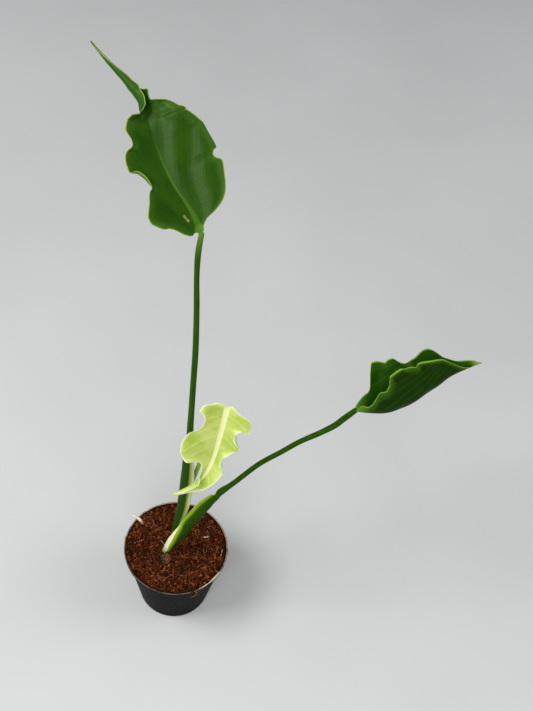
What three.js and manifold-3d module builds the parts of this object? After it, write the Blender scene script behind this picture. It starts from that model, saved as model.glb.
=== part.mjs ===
// Young split-leaf aroid: three lobed leaves on sheathed stalks in a small round nursery pot.
// Millimetres, +Z up, origin at the middle of the pot's underside, the viewer towards -Y.

import * as THREE from 'three';
import { mergeVertices } from 'three/addons/utils/BufferGeometryUtils.js';
import openManifold from 'manifold-3d';

// Space left between neighbouring pieces
const GAP = 0.3;

// Pot
const POT_HEIGHT = 85;
const RIM_RADIUS = 52.5;
const BASE_RADIUS = 36.5;
const WALL_TOP_RADIUS = 50.2;
const LIP_DEPTH = 3.2;
const LIP_WIDTH = 1.3;
const WALL = 1.2;
const FLOOR = 1.6;
const POT_SEGMENTS = 64;
const DRAIN_COUNT = 6;
const DRAIN_RADIUS = 4;
const DRAIN_RING = 25;

// Soil
const SOIL_TOP = 81.5;
const SOIL_RISE = 2.8;
const SOIL_RELIEF = 0.8;
const SOIL_RINGS = [6, 12, 18, 24, 30, 36, 41, 45, 48, 50.4];
const SOIL_SEGMENTS = 48;

// Stem under the stalks, and the dry end of the older stem in front of it
const STEM_FOOT = [-8.5, -3.2, 45];
const STEM_RADIUS = 5.4;
const STEM_TOP = 83.2;
const STUB_FOOT = [-8, -15, 52];
const STUB_RADIUS = 5;
const STUB_TOP = 90.5;
const TURNED_SEGMENTS = 20;

// Blades
const BLADE_ROWS = 42;
const BLADE_COLUMNS = 7;
const BLADE_THICKNESS = 0.8;
const EDGE_CURL_WIDTH = 6;
const LEAST_HALF_WIDTH = 0.5;
const LIFT_POWER = 2.2;
const COLUMN_CROWDING = 1.35;
const TANGENT_REACH = 1.5;
const SAMPLES_PER_SPAN = 24;

// Each blade is described along its midrib:
// rib     points of the midrib, from the stalk to the tip
// face    the way the upper side looks at each rib point
// fold    [station, degrees the left half stands up, the same for the right, radius of the keel]
// left and right  margin outline as [along the rib, out from it, lift, degrees of edge curl]
// spread  crowds the side veins towards the stalk, sweep bends them towards the tip
// ridge   [at the stalk, at the tip] height of the midrib on the underside

// Tall leaf: seen from above, its tip third folded along the midrib
const TALL_BLADE = {
  length: 177,
  spread: 1.1,
  sweep: 1.4,
  ridge: [1, 0.2],
  rib: [
    [2, 46, 493], [-9.5, 60, 501], [-24.5, 75, 509], [-37, 92, 518], [-46, 107, 526], [-50.5, 115, 530],
    [-54, 123, 534], [-58, 130, 538], [-65, 136, 541], [-76.5, 144.5, 546], [-89, 153.5, 551],
    [-105, 167, 558],
  ],
  face: [
    [0, -0.5, 0.9], [0, -0.5, 0.9], [0, -0.5, 0.9], [0, -0.5, 0.9], [0, -0.5, 0.9], [0, -0.6, 0.8],
    [0.1, -0.7, 0.7], [0.2, -0.7, 0.7], [0.3, -0.6, 0.7], [0.4, -0.4, 0.8], [0.5, -0.3, 0.8],
    [0.5, -0.3, 0.8],
  ],
  fold: [
    [0, 22, 5, 14], [50, 22, 6, 14], [90, 20, 8, 12], [98, 30, 12, 9], [102.5, 125, 20, 4.5],
    [108, 142, 28, 4.5], [118, 165, 38, 4.2], [125, 190, 45, 3.8], [138, 198, 50, 2.6], [152, 195, 55, 2.3],
    [165, 150, 60, 1.7], [177, 60, 50, 1.6],
  ],
  left: [
    [-1, 2], [1.5, 5], [0.5, 7], [-1, 9], [0.5, 11], [2.5, 14], [7, 18], [11, 22.5, 0, -20],
    [13.5, 27, -1, -40], [19.5, 31.5, -1, -40], [26.5, 33, 0, -20], [31, 31], [36.5, 26], [42, 22, 0, 20],
    [44.5, 20, 1, 70], [49.5, 22, 1, 110], [53.5, 23.5, 1, 120], [57, 26, 1, 120], [58.5, 27.5, 1, 80],
    [60, 28.5, 0, 20], [63, 28.5], [68, 28], [71.5, 27], [75.5, 24.5, 0, 20], [77, 21.5, 1, 60],
    [79, 20.5, 1, 70], [83.5, 19.5, 1, 50], [90.5, 19, 0, 10], [95.5, 18, -1, -20], [99, 16, -1, -20],
    [100.5, 12.5], [101.5, 8.5, 1], [102, 7], [102, 12], [103, 14], [105, 16.5], [109, 16], [113, 16],
    [119, 16], [125, 15.5], [131.5, 12], [137.5, 9.5], [144, 8], [151, 6.5], [158.5, 5], [165, 3.5],
    [171, 2.5], [177, 0.6],
  ],
  right: [
    [0, 2], [3.5, 3.5], [7.5, 8.5], [9.5, 15.5, 0, 10], [12.5, 23, 0, 20], [17.5, 29.5, 0, 10], [26, 36],
    [37, 41, 1, 10], [47, 37.5, 1], [54.5, 39, -1, -30], [61.5, 43.5, -3, -80], [78, 41.5, -3, -80],
    [85, 37.5, -1, -30], [94.5, 31.5], [100, 30.5, -1, -40], [103.5, 25.5, -3, -80], [107.5, 20, -3, -60],
    [108.5, 16], [110, 11, 1, 20], [112.5, 6.5], [114.5, 7.5], [117, 10], [119, 7], [122.5, 5],
    [127.5, 4.5], [135, 4.5], [143, 3.5], [153, 2.5], [165, 1.5], [177, 0.6],
  ],
};

// Side leaf: both halves stand up along the midrib, the near edge rolled outwards
const SIDE_BLADE = {
  length: 121,
  spread: 0.97,
  sweep: 1.5,
  ridge: [1.2, 0.2],
  rib: [
    [149, 49, 294.6], [162, 50.3, 293.5], [176, 53, 295.6], [190, 57, 301.4], [202, 62, 311.2],
    [214, 68, 323.2], [224, 73, 332.5], [235, 78, 339], [243, 82, 340], [251, 85, 341],
  ],
  face: [
    [-0.2, 0.3, 0.9], [-0.2, 0.3, 0.9], [-0.2, 0.3, 0.9], [-0.2, 0.3, 0.9], [-0.2, 0.3, 0.9],
    [-0.2, 0.3, 0.9], [-0.2, 0.3, 0.9], [-0.2, 0.3, 0.9], [0, 0.1, 1], [0, 0.1, 1],
  ],
  fold: [
    [0, 58, 70, 5], [8, 62, 82, 8], [25, 62, 86, 12], [75, 62, 86, 13], [102, 62, 84, 8], [114, 60, 70, 3],
    [118, 50, 50, 2.5], [121, 50, 50, 2],
  ],
  left: [
    [-1, 3], [1, 7], [3.5, 12], [6.5, 16], [10, 19], [12, 23], [11.5, 30], [10, 35.5], [9.5, 39.5],
    [10.8, 43], [14.5, 45], [19.5, 46], [26, 46.5, 0, 10], [34.5, 45.5, 0, 40], [42.5, 43.5, 0, 30],
    [50.5, 44], [55.5, 43.5, 0, 20], [59.5, 39.5, 0, 80], [63, 36.5, 0, 100], [67, 33.5, 0, 60],
    [71, 32.5, 0, 20], [74.5, 32], [78, 32.5], [83, 33], [87, 31.5], [89.3, 28], [91.2, 23], [93, 18],
    [95.8, 14.5], [100, 10], [107, 6.5], [113, 4.5], [118, 2], [121, 0.6],
  ],
  right: [
    [-1.5, 3], [-0.5, 8], [2, 12.5], [7.5, 16, 0, -20], [12, 21, 0, -10], [15, 26.5], [17.5, 33, 0, -20],
    [21.5, 37, 0, -30], [30, 37, 0, -20], [37, 40.5], [48, 45.5, 0, -10], [53, 51, 0, -60],
    [57.5, 55.5, 0, -110], [65, 56, 0, -110], [70.5, 52, 0, -60], [74.5, 46.5], [78, 45, 0, -40],
    [81.5, 48.5, 0, -90], [84, 47, 0, -100], [88, 42.5, 0, -100], [92.5, 37, 0, -90], [95.5, 29.5, 0, -60],
    [98, 21, 0, -20], [101.5, 13], [106, 7], [110, 3.5], [115, 2], [121, 0.6],
  ],
};

// New leaf: hangs towards the viewer, its tip third rolled together
const NEW_BLADE = {
  length: 121,
  spread: 1.2,
  sweep: 1.6,
  ridge: [0.6, 0.2],
  rib: [
    [39, -40, 396], [37.3, -43, 377], [35.2, -46, 357], [33, -49, 339], [29.6, -52, 323], [23.6, -55, 309],
    [15.5, -58, 301.5], [8, -60, 295.5], [1, -62, 289],
  ],
  face: [
    [0.1, -0.9, 0.3], [0.1, -0.9, 0.3], [0.1, -0.9, 0.3], [0.1, -0.9, 0.3], [0, -0.9, 0.3], [-0.1, -1, 0.2],
    [0, -1, 0], [0, -1, -0.1], [0, -1, -0.1],
  ],
  fold: [
    [0, 25, 10, 12], [40, 20, 8, 14], [62, 20, 12, 12], [74, 20, 40, 7], [81, 20, 92, 4.2],
    [87, 22, 150, 3], [92, 24, 190, 2.5], [103, 28, 195, 2.1], [114, 40, 150, 2], [121, 50, 90, 1.8],
  ],
  left: [
    [-1.5, 3.5], [-1, 5.5], [1.5, 8], [3.5, 11.5], [4, 16], [6, 19.5, 0, -20], [11.5, 22.5, 0, -50],
    [16.5, 22.5, 0, -40], [20.5, 21.5, 0, -10], [19.3, 19.5], [19, 18], [19.5, 16.5], [20.5, 15, 0, 20],
    [21.5, 14, 0, 60], [28.5, 17.5, 0, 170], [32.5, 18, 0, 120], [39.5, 18.5], [44, 17.5, 0, -20],
    [46.5, 14], [50, 11.5, 0, 30], [54, 11, 0, 120], [61, 12, 0, 150], [65.5, 12, 0, 80], [76.5, 11.5],
    [82.5, 10.5], [89.5, 9], [96, 7.5], [103.5, 5], [113, 3], [121, 0.6],
  ],
  right: [
    [-1.5, 2], [-3, 5.5], [-3.5, 8.5, 0, -20], [-2.5, 12.5], [-1.5, 16.5, 0, -10], [2, 19, 0, -30],
    [6.5, 20.5, 0, -40], [8.5, 18], [12.5, 16, 0, 20], [18.5, 16, 0, 30], [25, 17.5, 0, 20],
    [28.5, 20.5, 0, 10], [32, 25], [39, 27.5, 0, -10], [47.5, 29, 0, -20], [57, 28, 0, -20],
    [64.5, 24.5, 0, -20], [67, 21, 0, -10], [67.3, 18, 0, -20], [66.3, 15.5], [66, 13], [66.5, 10.5],
    [69, 8.5], [73, 7], [78, 6.2], [82, 7], [87, 8.5], [92, 8.5], [99, 6.5], [107, 5.5], [114, 3.5],
    [121, 0.6],
  ],
};

// Stalks: opening is the way the sheath opens; each path point holds
// [x, y, z, radius, how open the sheath is, degrees it reaches round on one side, on the other]
const SHEATH_WALL = 0.9;
const CLOSED_REACH = 80;

const TALL_STALK = {
  opening: [0.95, 0.3, 0],
  rows: 34,
  columns: 10,
  path: [
    [-8, -3, 84.1, 3.1, 1, 115, 135],
    [-5, -1.2, 100, 3.6, 1, 115, 135],
    [-1.2, 1.1, 118, 4.1, 1, 115, 135],
    [1.6, 2.9, 139, 5, 1, 115, 135],
    [4.1, 3.8, 157, 5.9, 1, 115, 135],
    [5.5, 5, 172, 6.7, 1, 115, 135],
    [7, 8, 204, 7.1, 1, 115, 135],
    [7.2, 10.5, 228, 6.6, 1, 110, 125],
    [6.6, 13, 246, 4.4, 0.7, 100, 105],
    [5.6, 15.5, 266, 3, 0, 80, 80],
    [5.2, 20, 307, 2.7, 0, 80, 80],
    [5, 24, 345, 2.6, 0, 80, 80],
    [4.7, 28, 373, 2.6, 0, 80, 80],
    [2.9, 34, 420, 2.4, 0, 80, 80],
    [1, 39, 452, 2.2, 0, 80, 80],
    [0.8, 42, 474, 2.4, 0, 80, 80],
    [2.1, 45.3, 491.2, 2.1, 0, 80, 80],
  ],
};

const SIDE_STALK = {
  opening: [-0.8, 0.6, -0.05],
  rows: 34,
  columns: 10,
  path: [
    [-7.8, -2.9, 84.8, 4.6, 1, 150, 140],
    [-5.3, -2.3, 95, 5.5, 1, 130, 115],
    [-1.2, -1.8, 107, 6.3, 1, 130, 115],
    [3, -2, 119, 6.7, 1, 128, 115],
    [7.6, -1, 130, 6.8, 1, 124, 112],
    [12, 0, 144, 6.9, 1, 126, 115],
    [17, 1, 154, 6.9, 1, 135, 118],
    [24.6, 4, 169.6, 6.3, 1, 140, 112],
    [32.6, 6.8, 181.8, 4.8, 1, 130, 105],
    [38.2, 8.6, 189, 3.3, 0, 80, 80],
    [48, 12, 200, 2.5, 0, 80, 80],
    [71, 20, 230, 2.4, 0, 80, 80],
    [88, 26, 244, 2.4, 0, 80, 80],
    [104, 32, 257, 2.4, 0, 80, 80],
    [121, 38, 267, 2.6, 0, 80, 80],
    [133, 42, 276.4, 2.8, 0, 80, 80],
    [140, 45.2, 284.4, 2.8, 0, 80, 80],
    [148, 48.7, 293.4, 2.5, 0, 80, 80],
  ],
};

const NEW_STALK = {
  opening: [0.7, 0.7, 0],
  rows: 24,
  columns: 5,
  path: [
    [-7.9, -3, 84, 1.8, 0, 80, 80],
    [-4.8, -0.9, 101, 1.9, 0, 80, 80],
    [-0.6, 1.4, 120, 2, 0, 80, 80],
    [3, 3.4, 136, 2, 0, 80, 80],
    [5.7, 4.8, 149, 2, 0, 80, 80],
    [8, 6.5, 166, 2, 0, 80, 80],
    [9, 8.5, 181, 2, 0, 80, 80],
    [10.6, 10, 196, 2, 0, 80, 80],
    [13.4, 11, 211, 2, 0, 80, 80],
    [16.8, 9, 235, 2, 0, 80, 80],
    [22.5, 2, 276, 2, 0, 80, 80],
    [28, -9, 320, 2, 0, 80, 80],
    [33.5, -20, 355, 2, 0, 80, 80],
    [36.5, -28.5, 376.5, 2, 0, 80, 80],
    [37.6, -34, 384.5, 2, 0, 80, 80],
    [38, -39.8, 387.2, 1.8, 0, 80, 80],
  ],
};

// Root tip that climbs out of the soil and over the rim
const ROOT_TIP = {
  opening: [0, 0, 1],
  rows: 12,
  columns: 5,
  path: [
    [-32, 18, 70, 1.5, 0, 80, 80],
    [-36, 20.6, 77.8, 1.5, 0, 80, 80],
    [-40.5, 23.4, 86, 1.6, 0, 80, 80],
    [-45.5, 25.6, 88.3, 1.5, 0, 80, 80],
    [-51, 28, 88.2, 0.8, 0, 80, 80],
  ],
};

const COLOURS = {
  pot: { color: 0x141517, roughness: 0.6 },
  soil: { color: 0x40201a, roughness: 0.95 },
  stem: { color: 0x6f9a1e, roughness: 0.6 },
  dry: { color: 0x6b4a34, roughness: 0.9 },
  stalk: { color: 0x2f6a12, roughness: 0.4 },
  newStalk: { color: 0x6c8a1c, roughness: 0.45 },
  tallBlade: { color: 0x2a5a14, roughness: 0.3 },
  sideBlade: { color: 0x2c6412, roughness: 0.3 },
  newBlade: { color: 0xa5c64a, roughness: 0.35 },
  root: { color: 0xe6d9b8, roughness: 0.7 },
};

const vector = (point) => new THREE.Vector3(point[0], point[1], point[2]);

const lerp = THREE.MathUtils.lerp;

const radians = THREE.MathUtils.degToRad;

// Rows of a table read between its stations, eased from one row to the next
function easedRow(table, station) {
  let i = 0;
  while (i < table.length - 2 && station >= table[i + 1][0]) {
    i += 1;
  }
  const t = THREE.MathUtils.smoothstep(station, table[i][0], table[i + 1][0]);
  return table[i].slice(1).map((value, k) => lerp(value, table[i + 1][k + 1], t));
}

// Rows of a table read between its stations in straight lines
function straightRow(stations, rows, station) {
  let i = 0;
  while (i < stations.length - 2 && station >= stations[i + 1]) {
    i += 1;
  }
  const t = THREE.MathUtils.clamp((station - stations[i]) / (stations[i + 1] - stations[i]), 0, 1);
  return rows[i].map((value, k) => lerp(value, rows[i + 1][k], t));
}

// Smooth curve through rows of numbers, with the length run along its first three
function smoothCurve(rows) {
  const mirrored = (end, next) => end.map((value, k) => 2 * value - next[k]);
  const distance = (a, b) => Math.hypot(...a.map((value, k) => b[k] - value));
  const blend = (a, b, ta, tb, t) => a.map((value, k) => lerp(value, b[k], (t - ta) / (tb - ta)));
  const last = rows.length - 1;
  const all = [mirrored(rows[0], rows[1]), ...rows, mirrored(rows[last], rows[last - 1])];
  const points = [];
  for (let i = 0; i < last; i += 1) {
    const [a, b, c, d] = all.slice(i, i + 4);
    const tb = Math.sqrt(distance(a, b));
    const tc = tb + Math.sqrt(distance(b, c));
    const td = tc + Math.sqrt(distance(c, d));
    for (let k = 0; k < SAMPLES_PER_SPAN; k += 1) {
      const t = lerp(tb, tc, k / SAMPLES_PER_SPAN);
      const ab = blend(a, b, 0, tb, t);
      const bc = blend(b, c, tb, tc, t);
      const cd = blend(c, d, tc, td, t);
      points.push(blend(blend(ab, bc, 0, tc, t), blend(bc, cd, tb, td, t), tb, tc, t));
    }
  }
  points.push(rows[last]);
  const run = [0];
  for (let i = 1; i < points.length; i += 1) {
    run.push(run[i - 1] + distance(points[i - 1].slice(0, 3), points[i].slice(0, 3)));
  }
  return { points, run, length: run[run.length - 1] };
}

// Position and directions along a curve: tangent, the way it faces, and their cross product
function guide(points, facings) {
  const curve = smoothCurve(points);
  const knots = points.map((_, i) => curve.run[i * SAMPLES_PER_SPAN]);
  const facingRows = facings.map((facing, i) => [knots[i], ...facing]);
  const pointAt = (station) => vector(straightRow(curve.run, curve.points, station));
  const frameAt = (station) => {
    const inside = THREE.MathUtils.clamp(station, 0, curve.length);
    const before = pointAt(Math.max(inside - TANGENT_REACH, 0));
    const after = pointAt(Math.min(inside + TANGENT_REACH, curve.length));
    const tangent = after.sub(before).normalize();
    const point = pointAt(inside).addScaledVector(tangent, station - inside);
    const facing = vector(easedRow(facingRows, inside));
    facing.addScaledVector(tangent, -facing.dot(tangent)).normalize();
    return { point, tangent, facing, across: tangent.clone().cross(facing) };
  };
  return { knots, length: curve.length, frameAt };
}

// One point of a blade half, found by going out from the rib over the keel and up the fold
function bladePoint(spec, rib, side, station, out, margin) {
  const { point, facing, across } = rib.frameAt(station);
  const [leftFold, rightFold, keel] = easedRow(spec.fold, (station * spec.length) / rib.length);
  const fold = radians(side < 0 ? leftFold : rightFold);
  const curlWidth = Math.min(EDGE_CURL_WIDTH, 0.6 * margin.half);
  const intoCurl = Math.max(0, out - (margin.half - curlWidth));
  const curl = Math.abs(margin.curl) < 0.1 ? 0.1 : margin.curl;
  const bend = radians(curl) / curlWidth;
  const reach = out - intoCurl + Math.sin(bend * intoCurl) / bend;
  const rise = (1 - Math.cos(bend * intoCurl)) / bend;
  const turned = Math.min(reach / keel, fold);
  const straight = Math.max(0, reach - keel * fold);
  const sideways = keel * Math.sin(turned) + straight * Math.cos(fold);
  const upwards = keel * (1 - Math.cos(turned)) + straight * Math.sin(fold);
  const lift = margin.lift * (out / margin.half) ** LIFT_POWER + rise;
  return point
    .addScaledVector(across, side * (sideways - lift * Math.sin(turned)))
    .addScaledVector(facing, upwards + lift * Math.cos(turned));
}

// Margin stations, shared out half by outline length and half by progress along the rib
function marginStations(outline, scale, count) {
  const rows = outline.map(([along, half, lift = 0, curl = 0]) => [along * scale, half, lift, curl]);
  const curve = smoothCurve(rows);
  let furthest = -Infinity;
  const progress = curve.points.map(([along]) => {
    furthest = Math.max(furthest, along);
    return furthest - rows[0][0];
  });
  const total = progress[progress.length - 1];
  const shares = curve.run.map((run, k) => 0.5 * (run / curve.length + progress[k] / total));
  return Array.from({ length: count + 1 }, (_, i) => {
    const [along, half, lift, curl] = straightRow(shares, curve.points, i / count);
    return { along, half: Math.max(half, LEAST_HALF_WIDTH), lift, curl };
  });
}

// Middle surface of a blade: rows run from the stalk to the tip, columns from left to right
function bladeSurface(spec) {
  const rib = guide(spec.rib, spec.face);
  const scale = rib.length / spec.length;
  const margins = {
    left: marginStations(spec.left, scale, BLADE_ROWS),
    right: marginStations(spec.right, scale, BLADE_ROWS),
  };
  const pointOn = (i, column) => {
    const attach = rib.length * (i / BLADE_ROWS) ** spec.spread;
    const step = Math.abs(column);
    if (step === 0) {
      return rib.frameAt(attach).point;
    }
    const margin = column < 0 ? margins.left[i] : margins.right[i];
    const ribHalf = Math.min(lerp(2, 0.3, i / BLADE_ROWS), margin.half * 0.5);
    const share = 1 - (1 - (step - 1) / (BLADE_COLUMNS - 1)) ** COLUMN_CROWDING;
    const out = lerp(ribHalf, margin.half, share);
    const station = lerp(attach, margin.along, (out / margin.half) ** spec.sweep);
    return bladePoint(spec, rib, Math.sign(column), station, out, margin);
  };
  const columns = Array.from({ length: 2 * BLADE_COLUMNS + 1 }, (_, k) => k - BLADE_COLUMNS);
  return Array.from({ length: BLADE_ROWS + 1 }, (_, i) => columns.map((column) => pointOn(i, column)));
}

// Outward direction of a surface at one of its points, averaged over the cells around it
function surfaceNormal(surface, i, j) {
  const normal = new THREE.Vector3();
  const columns = surface[0].length;
  for (let a = Math.max(i - 1, 0); a < Math.min(i + 1, surface.length - 1); a += 1) {
    for (let b = Math.max(j - 1, 0); b < Math.min(j + 1, columns - 1); b += 1) {
      const rising = surface[a + 1][b + 1].clone().sub(surface[a][b]);
      const falling = surface[a][b + 1].clone().sub(surface[a + 1][b]);
      normal.add(falling.cross(rising));
    }
  }
  return normal.normalize();
}

// Closed solid between two grids of points, both faces split into triangles alike
function slab(upper, lower) {
  const rows = upper.length;
  const columns = upper[0].length;
  const positions = [...upper.flat(), ...lower.flat()].flatMap((point) => point.toArray());
  const indices = [];
  const top = (i, j) => i * columns + j;
  const bottom = (i, j) => rows * columns + i * columns + j;
  const quad = (a, b, c, d) => indices.push(a, b, c, a, c, d);
  for (let i = 0; i < rows - 1; i += 1) {
    for (let j = 0; j < columns - 1; j += 1) {
      quad(top(i, j), top(i, j + 1), top(i + 1, j + 1), top(i + 1, j));
      indices.push(bottom(i, j), bottom(i + 1, j + 1), bottom(i, j + 1));
      indices.push(bottom(i, j), bottom(i + 1, j), bottom(i + 1, j + 1));
    }
    quad(top(i, 0), top(i + 1, 0), bottom(i + 1, 0), bottom(i, 0));
    quad(top(i + 1, columns - 1), top(i, columns - 1), bottom(i, columns - 1), bottom(i + 1, columns - 1));
  }
  for (let j = 0; j < columns - 1; j += 1) {
    quad(top(0, j + 1), top(0, j), bottom(0, j), bottom(0, j + 1));
    quad(top(rows - 1, j), top(rows - 1, j + 1), bottom(rows - 1, j + 1), bottom(rows - 1, j));
  }
  const geometry = new THREE.BufferGeometry();
  geometry.setAttribute('position', new THREE.Float32BufferAttribute(positions, 3));
  geometry.setIndex(indices);
  return geometry;
}

// Blade with its midrib standing out underneath
function blade(spec) {
  const surface = bladeSurface(spec);
  const offset = (distance) =>
    surface.map((row, i) =>
      row.map((point, j) => point.clone().addScaledVector(surfaceNormal(surface, i, j), distance(i, j))),
    );
  const ridge = (i, j) => (j === BLADE_COLUMNS ? lerp(spec.ridge[0], spec.ridge[1], i / BLADE_ROWS) : 0);
  const upper = offset(() => BLADE_THICKNESS / 2);
  const lower = offset((i, j) => -BLADE_THICKNESS / 2 - ridge(i, j));
  return slab(upper, lower);
}

// Stalk swept along its path: round where closed, a gutter with two wings where it sheathes
function stalk(spec) {
  const path = guide(spec.path.map((row) => row.slice(0, 3)), spec.path.map(() => spec.opening));
  const shapes = spec.path.map((row, i) => [path.knots[i], ...row.slice(3)]);
  const outer = [];
  const inner = [];
  for (let i = 0; i <= spec.rows; i += 1) {
    const station = (path.length * i) / spec.rows;
    const { point, facing, across } = path.frameAt(station);
    const [radius, open, reachA, reachB] = easedRow(shapes, station);
    const place = (sideways, forwards) =>
      point.clone().addScaledVector(across, sideways).addScaledVector(facing, forwards);
    const outerRow = [];
    const innerRow = [];
    for (let k = 0; k <= spec.columns; k += 1) {
      const u = (2 * k) / spec.columns - 1;
      const back = radians(lerp(CLOSED_REACH, u < 0 ? reachB : reachA, open)) * u;
      const front = radians(CLOSED_REACH) * u;
      const lining = radius - SHEATH_WALL;
      outerRow.push(place(radius * Math.sin(back), -radius * Math.cos(back)));
      innerRow.push(place(
        lerp(radius * Math.sin(front), lining * Math.sin(back), open),
        lerp(radius * Math.cos(front), -lining * Math.cos(back), open),
      ));
    }
    outer.push(outerRow);
    inner.push(innerRow);
  }
  return slab(inner, outer);
}

// Outline turned about the upright axis, from [radius, height] points that start and end on it
function turned(profile, segments) {
  const outline = profile.map(([radius, height]) => new THREE.Vector2(radius, height));
  const geometry = new THREE.LatheGeometry(outline, segments);
  geometry.rotateX(Math.PI / 2);
  geometry.deleteAttribute('normal');
  geometry.deleteAttribute('uv');
  return mergeVertices(geometry, 1e-4);
}

const { Manifold, Mesh } = await openManifold().then((module) => {
  module.setup();
  return module;
});

// Solid made from a closed geometry, for cutting
function toSolid(geometry) {
  const plain = mergeVertices(geometry, 1e-4);
  return new Manifold(new Mesh({
    numProp: 3,
    vertProperties: new Float32Array(plain.attributes.position.array),
    triVerts: new Uint32Array(plain.index.array),
  }));
}

// One geometry with others cut away from it
function cutAway(geometry, cutters) {
  const result = cutters.reduce((solid, cutter) => solid.subtract(toSolid(cutter)), toSolid(geometry));
  const mesh = result.getMesh();
  const cut = new THREE.BufferGeometry();
  cut.setAttribute('position', new THREE.Float32BufferAttribute(mesh.vertProperties, 3));
  cut.setIndex([...mesh.triVerts]);
  return cut;
}

// Upright round hole between two heights
function holeCutter([x, y], radius, bottom, top, segments) {
  const cutter = turned([[0, bottom], [radius, bottom], [radius, top], [0, top]], segments);
  return cutter.translate(x, y, 0);
}

const wallRadius = (height) => lerp(BASE_RADIUS, WALL_TOP_RADIUS, height / POT_HEIGHT);

// Height under the lip, where the wall widens into it
const lipFoot = POT_HEIGHT - LIP_DEPTH;
const insideRadius = (height) => wallRadius(height) - WALL;
const lipInside = RIM_RADIUS - LIP_WIDTH;

// Tapered pot with a narrow flared lip and drain holes round its floor
function pot() {
  const shell = turned([
    [0, 0],
    [BASE_RADIUS - 0.8, 0],
    [BASE_RADIUS, 0.8],
    [wallRadius(lipFoot), lipFoot],
    [RIM_RADIUS - 0.3, lipFoot + 0.3],
    [RIM_RADIUS, POT_HEIGHT - 0.5],
    [RIM_RADIUS - 0.5, POT_HEIGHT],
    [lipInside + 0.4, POT_HEIGHT],
    [lipInside, POT_HEIGHT - 0.4],
    [lipInside - 0.3, lipFoot + 1.7],
    [insideRadius(lipFoot), lipFoot + 0.5],
    [insideRadius(FLOOR), FLOOR],
    [0, FLOOR],
  ], POT_SEGMENTS);
  const drains = Array.from({ length: DRAIN_COUNT }, (_, i) => {
    const angle = (2 * Math.PI * i) / DRAIN_COUNT;
    const centre = [DRAIN_RING * Math.cos(angle), DRAIN_RING * Math.sin(angle)];
    return holeCutter(centre, DRAIN_RADIUS, -1, FLOOR + 1, TURNED_SEGMENTS);
  });
  return cutAway(shell, drains);
}

// Unevenness of the soil's surface
function soilRelief(x, y) {
  const broad = Math.sin(0.21 * x + 1) * Math.cos(0.18 * y - 0.6);
  const fine = Math.sin(0.63 * x - 0.35 * y) * Math.cos(0.55 * y + 0.25 * x + 2);
  return SOIL_RELIEF * (0.6 * broad + 0.5 * fine);
}

// Height of the soil, hollow in the middle and banked up to the lip
function soilHeight(x, y) {
  const bank = SOIL_RISE * (Math.hypot(x, y) / WALL_TOP_RADIUS) ** 3;
  return SOIL_TOP + bank + soilRelief(x, y) * (1 - 0.6 * bank / SOIL_RISE);
}

// Soil that fills the pot, with a plain hole for each thing that stands in it
function soil() {
  const foot = FLOOR + GAP;
  const inset = GAP + 0.1;
  const marked = POT_HEIGHT + 1;
  const surface = [...SOIL_RINGS].reverse().map((radius) => [radius, marked]);
  const body = turned([
    [0, foot],
    [insideRadius(foot) - inset, foot],
    [insideRadius(lipFoot) - inset, lipFoot + 0.4],
    [SOIL_RINGS[SOIL_RINGS.length - 1] - 0.3, lipFoot + 2],
    ...surface,
    [0, marked],
  ], SOIL_SEGMENTS);
  const position = body.attributes.position;
  for (let i = 0; i < position.count; i += 1) {
    if (position.getZ(i) === marked) {
      position.setZ(i, soilHeight(position.getX(i), position.getY(i)));
    }
  }
  const above = POT_HEIGHT + 2;
  const stemHole = holeCutter(STEM_FOOT, STEM_RADIUS + GAP, STEM_FOOT[2] - GAP, above, TURNED_SEGMENTS);
  const stubHole = holeCutter(STUB_FOOT, STUB_RADIUS + GAP, STUB_FOOT[2] - GAP, above, TURNED_SEGMENTS);
  return cutAway(body, [stemHole, stubHole, rootHole()]);
}

// Slanting hole along the straight lower end of the root tip
function rootHole() {
  const low = vector(ROOT_TIP.path[0]);
  const high = vector(ROOT_TIP.path[2]);
  const direction = high.clone().sub(low).normalize();
  const length = high.distanceTo(low) + 6;
  const hole = holeCutter([0, 0], ROOT_TIP.path[2][3] + 2 * GAP, -GAP, length, TURNED_SEGMENTS);
  const turn = new THREE.Quaternion().setFromUnitVectors(new THREE.Vector3(0, 0, 1), direction);
  return hole.applyQuaternion(turn).translate(low.x, low.y, low.z);
}

// Stem, standing in the soil, its flat top just under the stalks
function stem() {
  const top = STEM_TOP - STEM_FOOT[2];
  return turned([
    [0, 0],
    [STEM_RADIUS - 1, 0],
    [STEM_RADIUS, 2],
    [STEM_RADIUS, top - 3],
    [STEM_RADIUS - 0.3, top - 1],
    [STEM_RADIUS - 1.4, top],
    [0, top],
  ], TURNED_SEGMENTS);
}

// Dry end of the older stem, knobbly and sunken in the middle
function stub() {
  const top = STUB_TOP - STUB_FOOT[2];
  const geometry = turned([
    [0, 0],
    [STUB_RADIUS - 1, 0],
    [STUB_RADIUS - 0.3, 2],
    [STUB_RADIUS - 0.3, top - 9],
    [STUB_RADIUS + 0.2, top - 6],
    [STUB_RADIUS - 0.1, top - 3],
    [STUB_RADIUS - 0.9, top - 1],
    [STUB_RADIUS - 2.2, top],
    [1, top - 1.2],
    [0, top - 1.4],
  ], TURNED_SEGMENTS);
  const position = geometry.attributes.position;
  for (let i = 0; i < position.count; i += 1) {
    const height = position.getZ(i);
    const angle = Math.atan2(position.getY(i), position.getX(i));
    const swell = height > top - 8 ? 0.06 * Math.sin(3 * angle + 0.8 * height) : 0;
    position.setX(i, position.getX(i) * (1 + swell));
    position.setY(i, position.getY(i) * (1 + swell));
  }
  return geometry;
}

function piece(name, geometry, look) {
  geometry.computeVertexNormals();
  const mesh = new THREE.Mesh(geometry, new THREE.MeshStandardMaterial({ ...look, metalness: 0 }));
  mesh.name = name;
  return mesh;
}

function grouped(name, ...members) {
  const group = new THREE.Group();
  group.name = name;
  group.add(...members);
  return group;
}

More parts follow.
